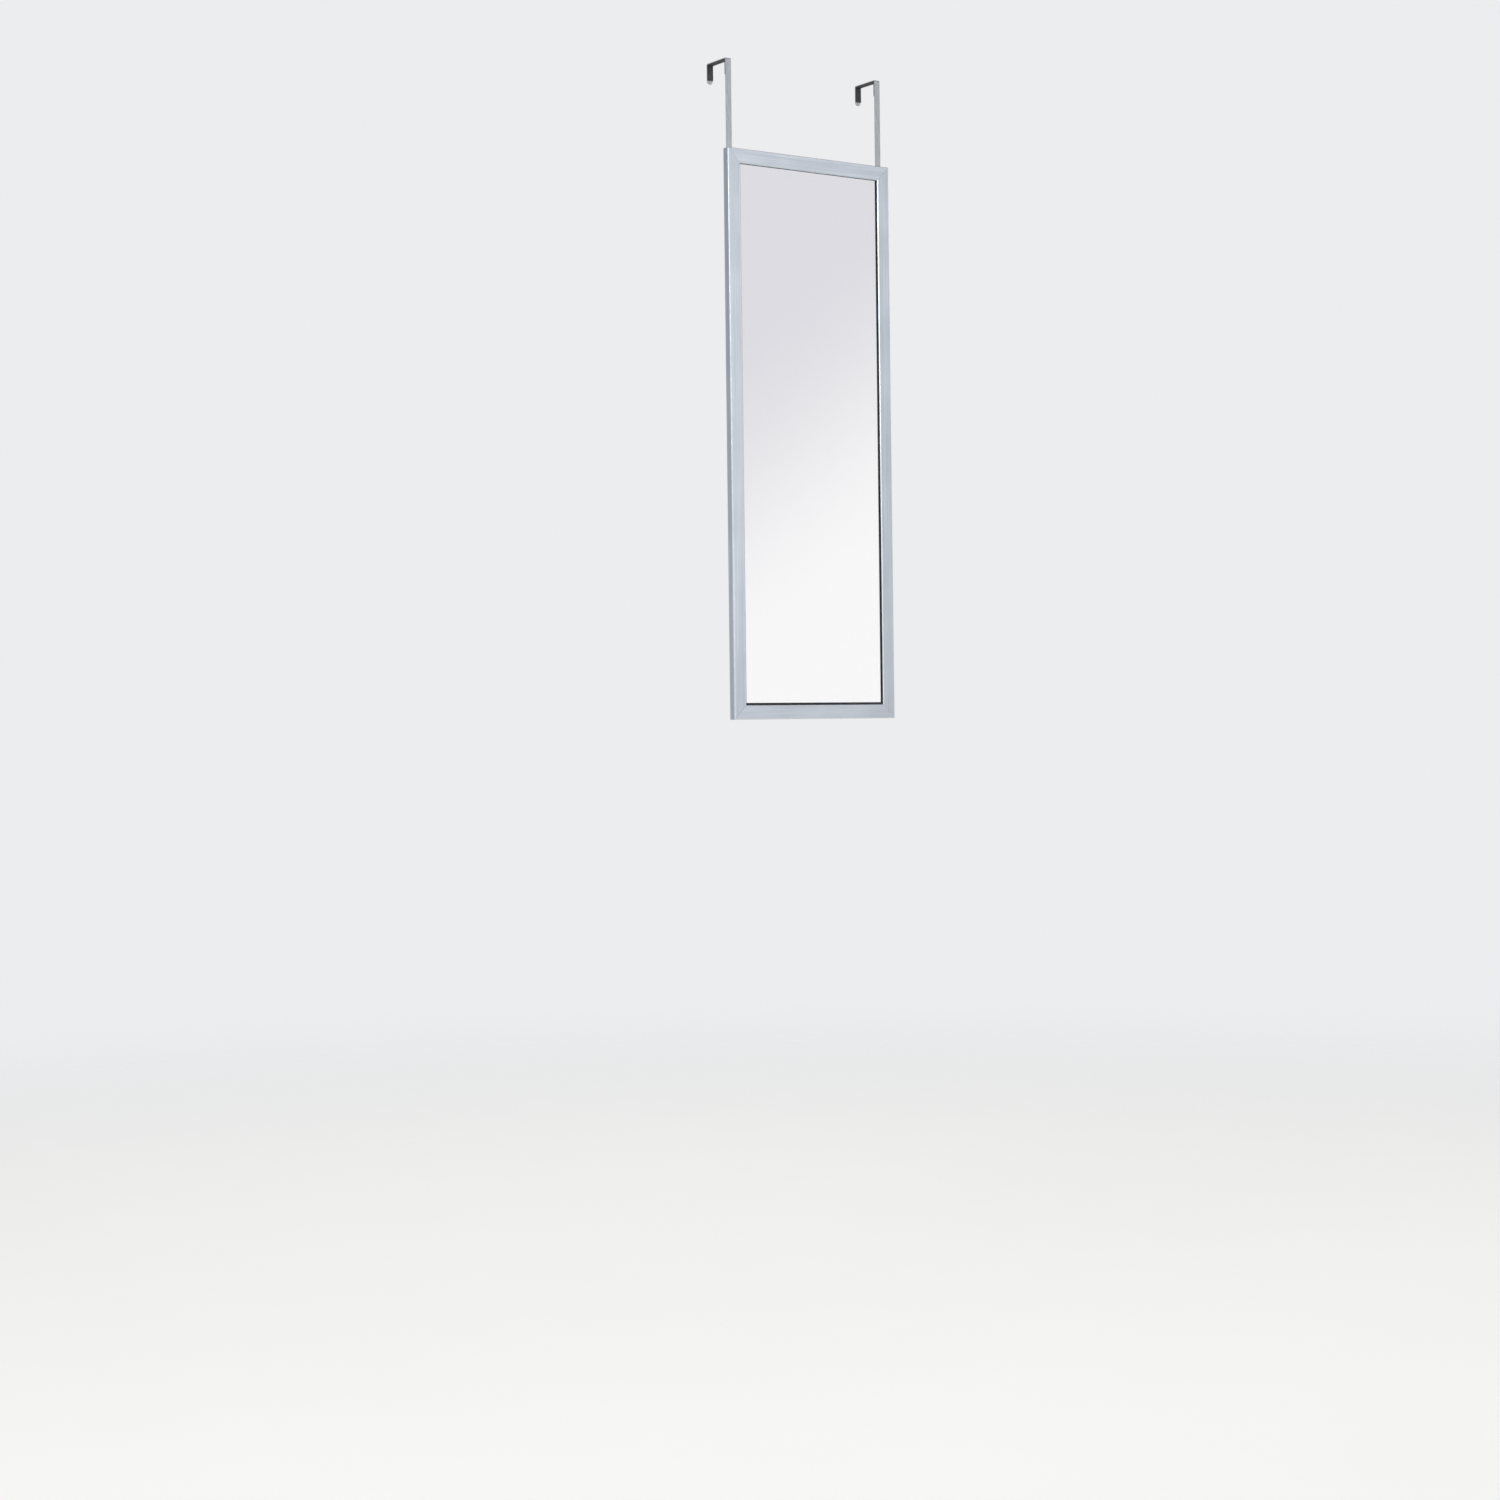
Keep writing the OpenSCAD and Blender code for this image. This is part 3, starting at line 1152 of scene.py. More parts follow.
@dataclass
class MouldedFrame:
    """The four mitred rails and the V nails that join them, in millimetres."""

    arris_radius: float = 1.5
    rubbed: float = 0.7
    sight_bevel: float = 1.2
    rebate_width: float = 6.0
    foil_on_back: float = 4.0
    foil_behind_lip: float = 2.5
    mitre_gap: float = 0.04
    mitre_wear: float = 0.3
    groove_width: float = 0.35
    groove_depth: float = 0.16
    nail_thickness: float = 0.6
    nail_wing: float = 6.0
    nail_depth: float = 7.0
    nail_burr: float = 0.08
    nail_proud: float = 0.05
    nail_places: tuple[float, float] = (4.5, 10.5)

    def __post_init__(self) -> None:
        """Reads the frame's place and the rail's section from the construction model."""
        self.low, self.high = box_mm("frame_left_stile")[0], box_mm("frame_right_stile")[1]
        self.centre = (self.low + self.high) / 2
        self.depth = self.high.y - self.low.y
        self.lip = box_mm("glazing_tape_top")[0].y - self.low.y
        top_low, top_high = box_mm("frame_top_rail")
        self.rail_width = top_high.z - top_low.z

    def section(self) -> list[SectionPoint]:
        """Draws the moulding's section, with its corners rounded.

        Returns:
            Its points, from the foil's edge on the back, round the front, and back.
        """
        body = self.rail_width - self.rebate_width
        sight = self.rail_width - self.sight_bevel
        edge = self.arris_radius + self.rubbed
        corners = [
            SectionPoint(self.foil_on_back, self.depth),
            SectionPoint(self.rubbed * 2, self.depth),
            SectionPoint(0.0, self.depth, radius=0.5, steps=4, wear=0.7),
            SectionPoint(0.0, self.depth - edge),
            SectionPoint(0.0, edge),
            SectionPoint(0.0, 0.0, radius=self.arris_radius, steps=8, wear=1.0),
            SectionPoint(edge, 0.0),
            SectionPoint(sight - edge / 2, 0.0),
            SectionPoint(sight, 0.0, radius=0.5, steps=3, wear=0.8),
            SectionPoint(self.rail_width, self.sight_bevel, radius=0.4, steps=3, wear=0.4),
            SectionPoint(self.rail_width, self.lip, radius=0.25, steps=2, wear=0.2),
            SectionPoint(self.rail_width - self.foil_behind_lip, self.lip, foil=False),
            SectionPoint(body, self.lip, foil=False),
            SectionPoint(body, self.depth - edge, foil=False),
            SectionPoint(body, self.depth, radius=0.3, steps=2, wear=0.7, foil=False),
            SectionPoint(body - edge, self.depth, foil=False),
        ]
        outline = []
        for before, corner, after in around(corners):
            rounded = fillet(before[:2], corner[:2], after[:2], corner.radius, corner.steps)
            outline += [corner._replace(inward=u, backward=v) for u, v in rounded]
        return outline

    def drawn_in(self, outline: Sequence[SectionPoint]) -> list[Point]:
        """Draws the section in by the depth of the groove along a mitre.

        Args:
            outline: The section.

        Returns:
            A place for each of its points.
        """
        places = []
        for before, point, after in around(outline):
            run = Vector((after.inward - before.inward, after.backward - before.backward)).normalized()
            inward = point.inward - run.y * self.groove_depth
            places.append((inward, point.backward + run.x * self.groove_depth))
        return places

    def rail_shape(self, length: float) -> bmesh.types.BMesh:
        """One mitred rail along X, with its outer edge at z = 0 and its front at y = 0.

        Args:
            length: The rail's length along its outer edge.

        Returns:
            A closed shape with a foil coat and bare board.
        """
        edit = bmesh.new()
        wear = edit.verts.layers.float.new(WEAR)
        outline = self.section()
        full = [point[:2] for point in outline]
        grooved = self.drawn_in(outline)
        half = length / 2 - self.mitre_gap
        rings = []
        for side, places, back_off, rub in (
            (-1, grooved, 0.0, self.mitre_wear),
            (-1, full, self.groove_width, 0.0),
            (1, full, self.groove_width, 0.0),
            (1, grooved, 0.0, self.mitre_wear),
        ):
            ring = []
            for point, (u, v) in zip(outline, places):
                vert = edit.verts.new((side * (half - max(u, 0) - back_off), v, -u))
                vert[wear] = min(1.0, point.wear + rub)
                ring.append(vert)
            rings.append(ring)
        join_rings(edit, rings, [FOIL_COAT if point.foil else BARE_COAT for point in outline])
        for ring in (rings[0], rings[-1]):
            edit.faces.new(ring).material_index = BARE_COAT
        face_outward(edit)
        return edit

    def build_rail(self, rail: Rail) -> bpy.types.Object:
        """Models one rail in its place and dresses it in foil and bare board.

        Args:
            rail: Which of the four it is.

        Returns:
            The rail.
        """
        size = self.high - self.low
        length, reach = (size.z, size.x / 2) if rail.upright else (size.x, size.z / 2)
        grain = Grain.UPRIGHT if rail.upright else Grain.ACROSS
        edit = self.rail_shape(length)
        centred = Matrix.Translation((self.centre.x, self.low.y, self.centre.z))
        turned = Matrix.Rotation(math.radians(90 * rail.quarters), 4, "Y")
        placed = centred @ turned @ Matrix.Translation((0, 0, reach))
        bmesh.ops.transform(edit, matrix=placed, verts=edit.verts)
        foil = BrushedFoil(f"brushed_foil_{grain.value}", grain)
        bare = RawFibreboard(f"raw_fibreboard_{grain.value}", grain)
        return mesh_object(rail.node.replace("frame_", "moulded_"), edit, foil, bare)

    def build_nails(self, copier: CopiesModel) -> bpy.types.Object:
        """Puts two V nails across each mitre, driven in from the back.

        Args:
            copier: What copies the nail.

        Returns:
            All nails as one piece.
        """
        wing, sheet = self.nail_wing, self.nail_thickness
        vee = [(0, 0), (wing, 0), (wing, -sheet), (sheet, -sheet), (sheet, -wing), (0, -wing)]
        edit = stamped([vee], self.nail_depth, self.nail_burr)
        turn_about_x(edit, math.pi / 2)
        part = mesh_object("one_v_nail", edit, PlatedSteel("zinc_nail", base_roughness=0.32))
        middle = self.high.y - self.nail_depth / 2 + self.nail_proud
        corners = [(self.low.x, self.high.z, 1, -1), (self.high.x, self.high.z, -1, -1),
                   (self.high.x, self.low.z, -1, 1), (self.low.x, self.low.z, 1, 1)]
        stations = []
        for quarter, (x, z, step_x, step_z) in enumerate(corners):
            for place in self.nail_places:
                where = Vector((x + step_x * place, middle, z + step_z * place))
                stations.append(Station(where, math.radians(90 * quarter)))
        return copier.copies("corner_nails", part, stations)

    def build(self, copier: CopiesModel) -> None:
        """Builds and ties the whole frame.

        Args:
            copier: What copies its nails.
        """
        for rail in Rail:
            body_piece(self.build_rail(rail), FRAME_BODY, "brushed_silver_foil", rail.node)
        body_piece(self.build_nails(copier), FRAME_BODY, "zinc_steel", "corner_v_nails")


@dataclass
class MirrorPane:
    """The layers in the rebate: tape, glass, silver, film, foam, board and points."""

    glass_ease: float = 0.35
    silver_ease: float = 0.01
    silver_gap: float = 0.01
    silver_margin: float = 0.4
    board_ease: float = 0.3
    point_thickness: float = 0.6
    point_width: float = 6.0
    point_bite: float = 7.0
    point_reach: float = 7.0
    point_rounding: float = 1.2
    rounding_steps: int = 5
    point_burr: float = 0.08
    hole_radius: float = 0.8
    hole_sides: int = 20
    stile_points: tuple[float, ...] = (-300, -100, 100, 300)
    rail_points: tuple[float, ...] = (-60, 60)

    def dress_layers(self) -> None:
        """Gives the flat layers their finishes; their construction solids stay in view."""
        # The glazing tape is a real part, but its near-black tones are painted shade for the dark gap
        # between the glass and the lip.
        skin, pore = Tone(36, 41, 46), Tone(14, 17, 20)
        tape = CellFoam("glazing_foam", skin, pore, cell_mm=0.25, gloss=0.15)
        for place in ("top", "bottom", "left", "right"):
            dress_node(f"glazing_tape_{place}", tape)
        dress_node("safety_film", PlasticFilm("safety_film"))
        dress_node("foam_sheet", CellFoam("cushion_foam"))

    def build_sheets(self) -> None:
        """Cuts the glass with polished arrises, the silver a hair inside it, and the board."""
        glass = (FloatGlass("float_glass"), self.glass_ease, 0, 0)
        silver = (MirrorSilver("mirror_silver"), self.silver_ease, self.silver_margin, self.silver_gap)
        board = (Hardboard("hardboard"), self.board_ease, 0, 0)
        for name, node, slot, (finish, ease, margin, gap) in (
            ("glass_pane", "mirror_glass", "clear_glass", glass),
            ("silver_layer", "silver_coating", "mirror_silver", silver),
            ("back_board", "backing_board", "hardboard", board),
        ):
            low, high = box_mm(node)
            low += Vector((margin, gap, margin))
            high -= Vector((margin, 0, margin))
            body_piece(mesh_object(name, slab(low, high, ease), finish), FRAME_BODY, slot, node)

    def point_part(self, finish: Finish) -> bpy.types.Object:
        """One retaining point along X: its blunt end lies on the board and its sharp end bites.

        Args:
            finish: What it is dressed in.

        Returns:
            The point.
        """
        half = self.point_width / 2
        sharp, shoulder, blunt = self.point_bite, self.point_bite - half, -self.point_reach
        corners = [(sharp, half), (blunt, half), (blunt, -half), (sharp, -half)]
        outline = fillet(*corners[:3], self.point_rounding, self.rounding_steps)
        outline += fillet(*corners[1:], self.point_rounding, self.rounding_steps)
        outline += [(shoulder, -half), (sharp, 0), (shoulder, half)]
        hole = arc((blunt / 2, 0), self.hole_radius, 0, 2 * math.pi, self.hole_sides)[:-1]
        edit = stamped([outline, hole], self.point_thickness, self.point_burr)
        turn_about_x(edit, math.pi / 2)
        return mesh_object("one_retaining_point", edit, finish)

    def build_points(self, copier: CopiesModel) -> bpy.types.Object:
        """Drives the points into the rebate's four walls.

        Args:
            copier: What copies the point.

        Returns:
            All points as one piece.
        """
        low, high = box_mm("retaining_points")
        bite = Vector((1, 0, 1)) * self.point_bite
        low, high = low + bite, high - bite
        middle = (low + high) / 2
        stations = []
        for z in self.stile_points:
            stations.append(Station(Vector((high.x, middle.y, middle.z + z))))
            stations.append(Station(Vector((low.x, middle.y, middle.z + z)), math.pi))
        for x in self.rail_points:
            stations.append(Station(Vector((x, middle.y, high.z)), -math.pi / 2))
            stations.append(Station(Vector((x, middle.y, low.z)), math.pi / 2))
        light, dark = Tone(202, 202, 200), Tone(140, 141, 142)
        finish = PlatedSteel("spring_steel", light, dark, base_roughness=0.22)
        return copier.copies("board_points", self.point_part(finish), stations)

    def build(self, copier: CopiesModel) -> None:
        """Dresses the layers, cuts the sheets and drives the points.

        Args:
            copier: What copies the points.
        """
        self.dress_layers()
        self.build_sheets()
        body_piece(self.build_points(copier), FRAME_BODY, "bright_steel", "retaining_points")


class Hand(Enum):
    """The two hangers, by the side that they are on for someone who looks into the mirror."""

    LEFT = "left"
    RIGHT = "right"

    def named(self, part: str) -> str:
        """The name of this side's body, node or piece."""
        return f"{self.value}_{part}"


@dataclass
class Hanger:
    """One strap hook with its slot and its foam liner, in millimetres."""

    hand: Hand
    thickness: float = 1.2
    bend_radius: float = 1.0
    back_leg: float = 28.0
    slot_radius: float = 2.05
    head_radius: float = 4.0
    burr: float = 0.18
    bend_steps: int = 10
    end_steps: int = 20
    liner_thickness: float = 1.5
    liner_ease: float = 0.2
    liner_slack: float = 0.05
    liner_steps: int = 8

    def __post_init__(self) -> None:
        """Reads the strap's size and the slot's place from the construction model."""
        self.low, self.high = box_mm(self.hand.named("hanger_strap"))
        self.width = self.high.x - self.low.x
        self.middle_x = (self.high.x + self.low.x) / 2
        outer = self.bend_radius + self.thickness
        self.middle_radius = self.bend_radius + self.thickness / 2
        self.near, self.far, self.level = self.low.y + outer, self.high.y - outer, self.high.z - outer
        self.front = self.level - self.low.z
        self.bend = self.middle_radius * math.pi / 2
        self.bridge = self.high.y - self.low.y - 2 * outer
        screws_low, screws_high = box_mm(self.hand.named("strap_screws"))
        slide = next(joint for joint in frame["joints"] if joint["child"] == self.hand.named("hanger"))
        travel = slide["range_m"][1] / MM
        pitch = screws_high.z - screws_low.z - 2 * self.head_radius
        self.slot_middle = (screws_high.z + screws_low.z) / 2
        self.slot_half = pitch / 2 + travel + self.slot_radius

    def bent(self, along: float, out: float) -> Point:
        """Where a point of the flat strip lies once it is bent.

        Args:
            along: Distance from the lower end of the front leg.
            out: Distance from the strip's middle surface, away from the door.

        Returns:
            Its (y, z) in millimetres.
        """
        radius = self.middle_radius + out
        if along <= self.front:
            return self.low.y + self.thickness / 2 - out, self.low.z + along
        along -= self.front
        if along <= self.bend:
            angle = along / self.middle_radius
            return self.near - radius * math.cos(angle), self.level + radius * math.sin(angle)
        along -= self.bend
        if along <= self.bridge:
            return self.near + along, self.level + radius
        along -= self.bridge
        if along <= self.bend:
            angle = along / self.middle_radius
            return self.far + radius * math.sin(angle), self.level + radius * math.cos(angle)
        return self.far + radius, self.level - (along - self.bend)

    def half_round(self, middle: float, radius: float, way: int) -> list[Point]:
        """Half a circle on the strip's middle line, towards its far end if way is 1, or else -1."""
        angles = [math.pi * (step / self.end_steps - 0.5) for step in range(self.end_steps + 1)]
        return [(middle + way * radius * math.cos(a), way * radius * math.sin(a)) for a in angles]

    def blank(self) -> list[list[Point]]:
        """Draws the flat strip.

        Returns:
            Its outline with round ends, and its slot.
        """
        length = self.front + 2 * self.bend + self.bridge + (self.level + self.back_leg)
        half, radius = self.width / 2, self.slot_radius
        slot_low = self.slot_middle - self.slot_half - self.low.z + radius
        slot_high = self.slot_middle + self.slot_half - self.low.z - radius
        return [
            self.half_round(length - half, half, 1) + self.half_round(half, half, -1),
            self.half_round(slot_high, radius, 1) + self.half_round(slot_low, radius, -1),
        ]

    def map_strip(self, edit: bmesh.types.BMesh) -> None:
        """Keeps each point's place on the flat strip as a map, and marks the rims as rubbed.

        Args:
            edit: The strip, before it is bent.
        """
        strip = edit.loops.layers.uv.new(STRIP_MAP)
        wear = edit.verts.layers.float.new(WEAR)
        for face in edit.faces:
            for loop in face.loops:
                loop[strip].uv = loop.vert.co.xy * MM
        flat = self.thickness / 2 - self.burr / 2
        for vert in edit.verts:
            vert[wear] = 0.0 if abs(vert.co.z) > flat else 1.0

    def build_strap(self) -> bpy.types.Object:
        """Stamps the flat strip, cuts it where it bends, and bends it over the door.

        Returns:
            The strap.
        """
        edit = stamped(self.blank(), self.thickness, self.burr)
        for start in (self.front, self.front + self.bend + self.bridge):
            for step in range(self.bend_steps + 1):
                cut = (start + self.bend * step / self.bend_steps, 0, 0)
                parts = edit.verts[:] + edit.edges[:] + edit.faces[:]
                plane = {"plane_co": cut, "plane_no": (1, 0, 0), "dist": CUT_TOLERANCE}
                bmesh.ops.bisect_plane(edit, geom=parts, **plane)
        edit = renumbered(edit)
        self.map_strip(edit)
        for vert in edit.verts:
            along, across, out = vert.co
            vert.co = (self.middle_x - across, *self.bent(along, out))
        face_outward(edit)
        return mesh_object(self.hand.named("strap"), edit, SatinStrip("satin_strip"))

    def build_liner(self, sweeper: SweepModel) -> bpy.types.Object:
        """Lines the inside of the hook with one strip of foam.

        Args:
            sweeper: What sweeps the strip along its path.

        Returns:
            The liner.
        """
        low, high = box_mm(self.hand.named("hook_liner"))
        half = self.liner_thickness / 2
        near, far, level = low.y + half, high.y - half, high.z - half
        ends = [(near, low.z), (near, level), (far, level), (far, low.z)]
        bends = [fillet(*ends[k:k + 3], half + self.liner_slack, self.liner_steps) for k in (0, 1)]
        line = [ends[0], *bends[0], *bends[1], ends[3]]
        path = [Vector((self.middle_x, y, z)) for y, z in line]
        skin, pore = Tone(58, 58, 61), Tone(30, 30, 32)
        finish = CellFoam("liner_foam", skin, pore, cell_mm=0.35, gloss=0.2)
        name = self.hand.named("liner")
        return sweeper.strip(name, path, finish, self.width, self.liner_thickness, self.liner_ease)

    def build(self, sweeper: SweepModel) -> None:
        """Builds and ties the strap and its liner.

        Args:
            sweeper: What sweeps the liner.
        """
        body, strap, liner = (self.hand.named(part) for part in ("hanger", "hanger_strap", "hook_liner"))
        body_piece(self.build_strap(), body, "satin_steel", strap)
        body_piece(self.build_liner(sweeper), body, "dark_foam", liner)


@dataclass
class StrapScrews:
    """The low-head screws that clamp the straps to the stiles, in millimetres."""

    head_radius: float = 4.0
    head_height: float = 1.2
    head_sides: int = 40
    dome_width: float = 0.92
    dome_foot: float = 0.3
    dome_steps: int = 18
    rim_top: float = 0.25
    rim_foot: float = 0.06
    rim_ease: float = 0.1
    shank_radius: float = 1.75
    root_radius: float = 1.35
    shank_length: float = 9.0
    tip_length: float = 2.5
    thread_start: float = 1.6
    thread_pitch: float = 1.0
    recess_length: float = 4.0
    recess_width: float = 0.95
    recess_depth: float = 0.75
    recess_above: float = 0.3
    recess_floor: float = 0.55
    recess_waist: float = 0.4
    loose_turn: float = math.radians(40)

    def screw_profile(self) -> list[Point]:
        """Draws the screw's turned outline, with the thread's ridges.

        Returns:
            (radius, height) points from the head's middle to the tip.
        """
        head, top = self.head_radius, self.head_height
        angles = [math.radians(90 * step / self.dome_steps) for step in range(1, self.dome_steps + 1)]
        profile = [(0.0, top)]
        for angle in angles:
            height = top * self.dome_foot + top * (1 - self.dome_foot) * math.cos(angle)
            profile.append((head * self.dome_width * math.sin(angle), height))
        profile += [(head, top * self.rim_top), (head, top * self.rim_foot)]
        profile += [(head - self.rim_ease, 0.0), (self.shank_radius, 0.0)]
        depth = self.thread_start
        while depth < self.shank_length - self.thread_pitch / 2:
            taper = min(1.0, (self.shank_length - depth) / self.tip_length)
            profile.append((self.root_radius * taper, -depth))
            profile.append((self.shank_radius * taper, -depth - self.thread_pitch / 2))
            depth += self.thread_pitch
        profile.append((0.0, -self.shank_length))
        return profile

    def recess(self) -> bpy.types.Object:
        """Models the cross that is cut into the head, narrower at its floor.

        Returns:
            The cross.
        """
        edit = bmesh.new()
        rings = []
        top = self.head_height
        floor = (self.recess_floor, top - self.recess_depth)
        for scale, height in ((1.0, top + self.recess_above), (1.0, top), floor):
            arm = self.recess_length / 2 * scale
            waist = self.recess_width / 2 * (self.recess_waist + (1 - self.recess_waist) * scale)
            ring = []
            for quarter in range(4):
                turn = Matrix.Rotation(math.radians(90 * quarter), 2)
                for corner in ((waist, waist), (waist, arm), (-waist, arm)):
                    ring.append(edit.verts.new((*(turn @ Vector(corner)), height)))
            rings.append(ring)
        join_rings(edit, rings)
        edit.faces.new(rings[0])
        edit.faces.new(rings[-1])
        face_outward(edit)
        return mesh_object("one_recess", edit)

    def screw_part(self) -> bpy.types.Object:
        """One screw with its head's underside at the origin, pointing along -Y.

        Returns:
            The screw.
        """
        light, dark = Tone(216, 217, 214), Tone(166, 167, 164)
        finish = PlatedSteel("zinc_screw", light, dark, base_roughness=0.22)
        screw = mesh_object("one_screw", lathe(self.screw_profile(), self.head_sides), finish)
        cutter = self.recess()
        cut = screw.modifiers.new("recess", "BOOLEAN")
        cut.operation = "DIFFERENCE"
        cut.solver = "EXACT"
        cut.object = cutter
        plain_mesh(screw)
        bpy.data.objects.remove(cutter)
        screw.data.transform(Z_TO_Y)
        return screw

    def build(self, copier: CopiesModel) -> None:
        """Puts two screws through each strap's slot.

        Args:
            copier: What copies the screw.
        """
        stations = []
        for hand in Hand:
            low, high = box_mm(hand.named("strap_screws"))
            under_head = high.y - self.head_height
            for z in (low.z + self.head_radius, high.z - self.head_radius):
                stations.append(Station(Vector(((low.x + high.x) / 2, under_head, z))))
        piece = copier.copies("strap_screws", self.screw_part(), stations, self.loose_turn, seed=11)
        body_piece(piece, FRAME_BODY, "zinc_steel", *(hand.named("strap_screws") for hand in Hand))


@dataclass
class Bumpers:
    """The rubber buttons behind the frame's lower corners, in millimetres."""

    nodes: tuple[str, str] = ("lower_left_bumper", "lower_right_bumper")
    sides: int = 48
    foot_ease: float = 0.2
    crown_radius: float = 1.0
    crown_steps: int = 6
    crown_edge: float = 0.1
    rim: float = 0.8
    dish_depth: float = 0.35
    dish_slope: float = 0.3
    middle_radius: float = 1.0
    middle_depth: float = 0.1

    def button_profile(self, radius: float, height: float) -> list[Point]:
        """Draws the button's turned outline.

        Args:
            radius: The button's radius.
            height: Its height.

        Returns:
            (radius, height) points from the middle of its foot to the middle of its dish.
        """
        crown, shoulder = radius - self.crown_radius, height - self.crown_radius
        inside, floor = crown - self.rim, height - self.dish_depth
        return [
            (0.0, 0.0),
            (radius - self.foot_ease, 0.0),
            (radius, self.foot_ease),
            (radius, shoulder - self.crown_edge),
            *arc((crown, shoulder), self.crown_radius, 0, math.pi / 2, self.crown_steps),
            (inside, height),
            (inside - self.dish_slope, floor),
            (self.middle_radius, floor),
            (0.0, floor - self.middle_depth),
        ]

    def build(self, copier: CopiesModel) -> None:
        """Turns one button and puts it behind both corners.

        Args:
            copier: What copies the button.
        """
        stations = []
        for node in self.nodes:
            low, high = box_mm(node)
            stations.append(Station(Vector(((low.x + high.x) / 2, low.y, (low.z + high.z) / 2))))
        profile = self.button_profile((high.x - low.x) / 2, high.y - low.y)
        part = mesh_object("one_bumper", lathe(profile, self.sides), SoftRubber("bumper_rubber"))
        part.data.transform(Z_TO_Y)
        piece = copier.copies("rear_bumpers", part, stations)
        body_piece(piece, FRAME_BODY, "bumper_rubber", *self.nodes)


# Studio


def direction(azimuth: float, elevation: float) -> Vector:
    """The direction at two angles in degrees; azimuth 0 is the mirror's front and 90 its right."""
    turn, lift = math.radians(azimuth), math.radians(elevation)
    return Vector((math.sin(turn) * math.cos(lift), -math.cos(turn) * math.cos(lift), math.sin(lift)))


@dataclass(frozen=True)
class PhotoCamera:
    """The photograph's camera, as the mirror's four corners give it."""

    focal_px: float = 2800
    image_px: float = 1500
    sensor_mm: float = 36
    clip_end: float = 200
    pitch: float = math.radians(0.456)
    yaw: float = math.radians(34.65)
    roll: float = math.radians(0.692)
    mirror_offset: tuple[float, float, float] = (0.0958, 0.4721, -4.2414)

    def build(self) -> None:
        """Makes the camera from the place of the mirror's front centre in the camera's own axes."""
        data = bpy.data.cameras.new("photo_camera")
        data.sensor_width = self.sensor_mm
        data.lens = self.sensor_mm * self.focal_px / self.image_px
        data.clip_end = self.clip_end
        low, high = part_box("frame_left_stile")[0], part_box("frame_right_stile")[1]
        centre = Vector(((low.x + high.x) / 2, low.y, (low.z + high.z) / 2))
        turned = (
            Matrix.Rotation(self.roll, 3, "Z")
            @ Matrix.Rotation(self.pitch, 3, "X")
            @ Matrix.Rotation(self.yaw, 3, "Y")
        ).transposed()
        upright = Matrix.Rotation(math.pi / 2, 3, "X") @ turned
        camera = bpy.data.objects.new("photo_camera", data)
        camera.matrix_world = upright.to_4x4()
        camera.location = centre - upright @ Vector(self.mirror_offset)
        bpy.context.scene.collection.objects.link(camera)
        bpy.context.scene.camera = camera


@dataclass(frozen=True)
class SoftBox:
    """A large soft lamp that points at the mirror."""

    name: str
    azimuth: float
    elevation: float
    distance: float
    width: float
    height: float
    radiance: float
    falloff: float = 2.0

    def build(self, target: Vector) -> None:
        """Makes the lamp.

        Args:
            target: Where it points.
        """
        data = bpy.data.lights.new(self.name, "AREA")
        data.shape = "RECTANGLE"
        data.size, data.size_y = self.width, self.height
        data.energy = self.radiance * math.pi * self.width * self.height
        data.use_nodes = True
        shader = Shader(data.node_tree)
        across, upward, _ = shader.parts(shader.node("ShaderNodeNewGeometry").outputs["Parametric"])
        sides, ends = ((side * (1 - side) * 4).smooth(0, 1) for side in (across, upward))
        light = shader.mix((sides * ends) ** self.falloff, BLACK, WHITE)
        shader.end("ShaderNodeOutputLight", shader.node("ShaderNodeEmission", None, {"Color": light}))
        lamp = bpy.data.objects.new(self.name, data)
        away = direction(self.azimuth, self.elevation)
        lamp.location = target + away * self.distance
        lamp.rotation_mode = "QUATERNION"
        lamp.rotation_quaternion = away.to_track_quat("Z", "Y")
        bpy.context.scene.collection.objects.link(lamp)


@dataclass(frozen=True)
class RoomPatch:
    """A round patch of light or dark in the reflected room, in degrees."""

    azimuth: float
    elevation: float
    core: float
    rim: float
    light: Colour

    def share(self, x: Value, y: Value, z: Value) -> Value:
        """How much of the patch shows in a direction.

        Args:
            x: The direction's first component.
            y: Its second.
            z: Its third.

        Returns:
            1 up to the patch's core and 0 from its rim.
        """
        axis = direction(self.azimuth, self.elevation)
        closeness = x * axis.x + y * axis.y + z * axis.z
        return closeness.smooth(math.cos(math.radians(self.rim)), math.cos(math.radians(self.core)))


